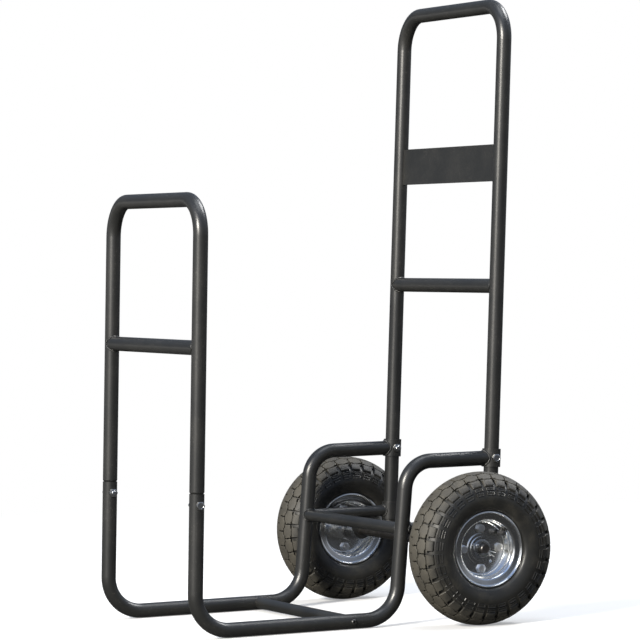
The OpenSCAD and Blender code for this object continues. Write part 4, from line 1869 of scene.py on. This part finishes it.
@dataclass(frozen=True)
class Camera:
    """The photograph's viewpoint, as fitted to the cart's edges."""

    place: Point = (5.7049, -2.6983, 0.6781)
    azimuth: float = 64.50
    elevation: float = 1.44
    roll: float = -1.13
    focal_px: float = 3631.0
    frame_px: float = 640.0
    sensor: float = 36.0
    clip_end: float = 100.0

    def build(self) -> None:
        """Makes the camera and gives it to the scene."""
        a, e, r = (math.radians(v) for v in (self.azimuth, self.elevation, self.roll))
        back = Vector((math.sin(a) * math.cos(e), -math.cos(a) * math.cos(e), math.sin(e)))
        right = Vector((math.cos(a), math.sin(a), 0.0))
        up = back.cross(right)
        rolled_right = right * math.cos(r) + up * math.sin(r)
        rolled_up = up * math.cos(r) - right * math.sin(r)
        data = bpy.data.cameras.new("camera")
        data.sensor_width = self.sensor
        data.lens = self.focal_px / self.frame_px * self.sensor
        data.clip_end = self.clip_end
        camera = bpy.data.objects.new("camera", data)
        axes = Matrix((rolled_right, rolled_up, back)).transposed().to_4x4()
        camera.matrix_world = Matrix.Translation(self.place) @ axes
        bpy.context.scene.collection.objects.link(camera)
        bpy.context.scene.camera = camera


@dataclass(frozen=True)
class Lamp:
    """A square soft lamp that points at the cart."""

    name: str
    place: Point
    side: float
    power: float
    colour: Colour = WHITE
    target: Point = (0.0, 0.0, 0.45)

    def build(self) -> None:
        """Makes the lamp."""
        data = bpy.data.lights.new(self.name, "AREA")
        data.shape = "SQUARE"
        data.size = self.side
        data.energy = self.power
        data.color = self.colour
        lamp = bpy.data.objects.new(self.name, data)
        aim = (Vector(self.target) - Vector(self.place)).to_track_quat("-Z", "Y")
        lamp.matrix_world = Matrix.Translation(self.place) @ aim.to_matrix().to_4x4()
        bpy.context.scene.collection.objects.link(lamp)


@dataclass(frozen=True)
class Card:
    """A soft bright patch of the world that only mirrors see.

    Attributes:
        way: Where it stands, as a direction.
        dark: How far its edge is drawn in.
        share: Its level in the middle.
        gain: How steeply it brightens towards the middle.
    """

    way: Point
    dark: float
    share: float = 1.0
    gain: float = 1.6

    def level(self, g: Graph, way: Wire) -> Wire:
        """The card's light in a direction."""
        facing = g.node("ShaderNodeVectorMath", {"operation": "DOT_PRODUCT"}, {0: way, 1: self.way})
        return (facing["Value"] * self.gain - self.dark).clamped() * self.share


@dataclass(frozen=True)
class Studio:
    """White floor, white surroundings and soft lamps.

    Attributes:
        floor_near: Distance at which the floor's shadows begin to fade out.
        floor_far: Distance at which none is left.
        floor_bounce: The colour that the floor lights the cart with.
        floor_glow: Share of plain white in the floor that the camera sees by the cart.
        sky: The colour of the world's light.
        sky_low: That light's strength below the horizon.
        sky_high: Its strength overhead; sky_slope and sky_lift say how it gets there.
        sky_mirror: The colour overhead as mirrors see it, which comes in by blue_slope.
        mirror_low: What mirrors see where there is no card.
        mirror_front: What mirrors see in the floor beside the cart's middle.
        mirror_slope: How much more they see for each metre to the front.
    """

    floor_size: float = 60.0
    floor_z: float = -0.0004
    floor_near: float = 1.2
    floor_far: float = 2.6
    floor_colour: Colour = (0.92, 0.92, 0.92)
    floor_bounce: Colour = (0.36, 0.35, 0.32)
    floor_glow: float = 0.35
    sky: Colour = (0.60, 0.74, 1.0)
    sky_low: float = 0.03
    sky_high: float = 0.36
    sky_slope: float = 1.2
    sky_lift: float = 0.2
    sky_mirror: Colour = (0.26, 0.42, 0.80)
    blue_slope: float = 1.5
    mirror_low: float = 0.032
    mirror_front: float = 0.05
    mirror_slope: float = 0.12
    cards: tuple[Card, Card] = (
        Card((0.45, -0.78, 0.43), 0.5),
        Card((0.10, 0.90, 0.42), 0.7, 0.55),
    )
    lamps: tuple[Lamp, ...] = (
        Lamp("key", (3.0, -5.6, 3.2), 1.15, 900.0, (1.0, 0.95, 0.86)),
        Lamp("top", (0.6, 0.2, 4.5), 2.4, 60.0, (0.92, 0.96, 1.0)),
        Lamp("rear", (-0.5, 3.6, 4.6), 2.0, 230.0),
    )

    def build(self) -> None:
        """Makes the floor, the world and the lamps."""
        self._floor()
        self._world()
        for lamp in self.lamps:
            lamp.build()

    def _floor(self) -> None:
        """A large plane just under the tyres that fades to plain white away from the cart."""
        bpy.ops.mesh.primitive_plane_add(size=self.floor_size, location=(0.0, 0.0, self.floor_z))
        floor = bpy.context.object
        floor.name = "floor"
        g = Graph.material("floor_white")
        xyz = g.xyz(g.place())
        path = g.node("ShaderNodeLightPath")
        glossy = path["Is Glossy Ray"]
        direct = path["Is Camera Ray"] + path["Is Transmission Ray"]
        distance = (xyz["X"] * xyz["X"] + xyz["Y"] * xyz["Y"]).root()
        far = distance.ramp(self.floor_near, self.floor_far - self.floor_near)
        plain = far * (1.0 - self.floor_glow) + self.floor_glow
        pale = g.tint(direct.clamped(), self.floor_bounce, self.floor_colour)
        shaded = g.node("ShaderNodeBsdfDiffuse", None, {"Color": pale})[0]
        front = (self.mirror_front - xyz["Y"] * self.mirror_slope).clamped() + self.mirror_low
        strength = (direct + glossy * front).clamped()
        white = g.node("ShaderNodeEmission", None, {"Strength": strength})[0]
        floor.data.materials.append(
            g.ended(g.mixed((plain * direct + glossy).clamped(), shaded, white))
        )

    def _world(self) -> None:
        """Pale sky light, brighter from above; the camera and mirrors see a white studio."""
        world = bpy.data.worlds.new("studio")
        bpy.context.scene.world = world
        g = Graph(world)
        way = g.node("ShaderNodeTexCoord")["Generated"]
        up = g.xyz(way)["Z"]
        height = (up * self.sky_slope + self.sky_lift).clamped()
        strength = self.sky_low + height * (self.sky_high - self.sky_low)
        sky = {"Color": (*self.sky, 1.0), "Strength": strength}
        light = g.node("ShaderNodeBackground", None, sky)[0]
        front, rear = (card.level(g, way) for card in self.cards)
        bright = (front + rear) * (1.0 - self.mirror_low) + self.mirror_low
        path = g.node("ShaderNodeLightPath")
        glossy = path["Is Glossy Ray"]
        seen = path["Is Camera Ray"] + path["Is Transmission Ray"] + glossy * bright
        blue = g.tint((up * self.blue_slope).clamped() * glossy, WHITE, self.sky_mirror)
        white = g.node("ShaderNodeBackground", None, {"Color": blue})[0]
        g.ended(g.mixed(seen.clamped(), light, white))


# ---------------------------------------------------------------- the whole cart


def mix_finishes() -> dict[Slot, bpy.types.Material]:
    """Makes the finish of every material slot.

    Returns:
        The materials by slot.
    """
    axle = spot("axle") * MM
    return {
        Slot.PAINT: PowderCoat().build(),
        Slot.ZINC: ZincPlate().build(),
        Slot.RIM: RIM_ZINC.build(),
        Slot.STEEL: TurnedSteel().build(),
        Slot.BEARING: GROUND_STEEL.build(),
        Slot.TYRE: TyreRubber(axle.y, axle.z).build(),
        Slot.TUBE_RUBBER: Moulded("tube_rubber").build(),
        Slot.SEAL: Moulded("seal_rubber").build(),
        Slot.VALVE: Moulded("valve_rubber", 0.4).build(),
        Slot.PLASTIC: Moulded("cap_plastic", 0.42).build(),
    }


def dress(node: str, material: bpy.types.Material) -> None:
    """Gives a CAD node its finish.

    Args:
        node: The node's name.
        material: The finish.
    """
    piece = frame["nodes"][node]
    if piece.material_slots:
        piece.material_slots[0].material = material
    else:
        piece.data.materials.append(material)


def main() -> None:
    """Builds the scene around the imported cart."""
    logging.basicConfig(level=logging.INFO, format="%(message)s")
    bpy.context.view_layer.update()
    bpy.context.scene.view_settings.view_transform = "Standard"
    Camera().build()
    Studio().build()
    finishes = mix_finishes()
    for part in frame["record"]["subparts"]:
        dress(part["node"], finishes[Slot(part["material_slot"])])
    fresh = FRESH_ZINC.build()
    lines = Lines()
    Tyre().build(lines, finishes[Slot.TYRE])
    SplitRim().build(lines, finishes[Slot.RIM], fresh)
    ValveCap().build(lines, finishes[Slot.PLASTIC])
    SplitPin().build(lines, fresh)
    Washers().build(lines, finishes[Slot.ZINC])
    TubeBolts().build(lines, finishes[Slot.ZINC])
    FloorBolts().build(lines, finishes[Slot.PAINT])
    Welds().build(lines, finishes[Slot.PAINT])


if __name__ == "__main__":
    main()
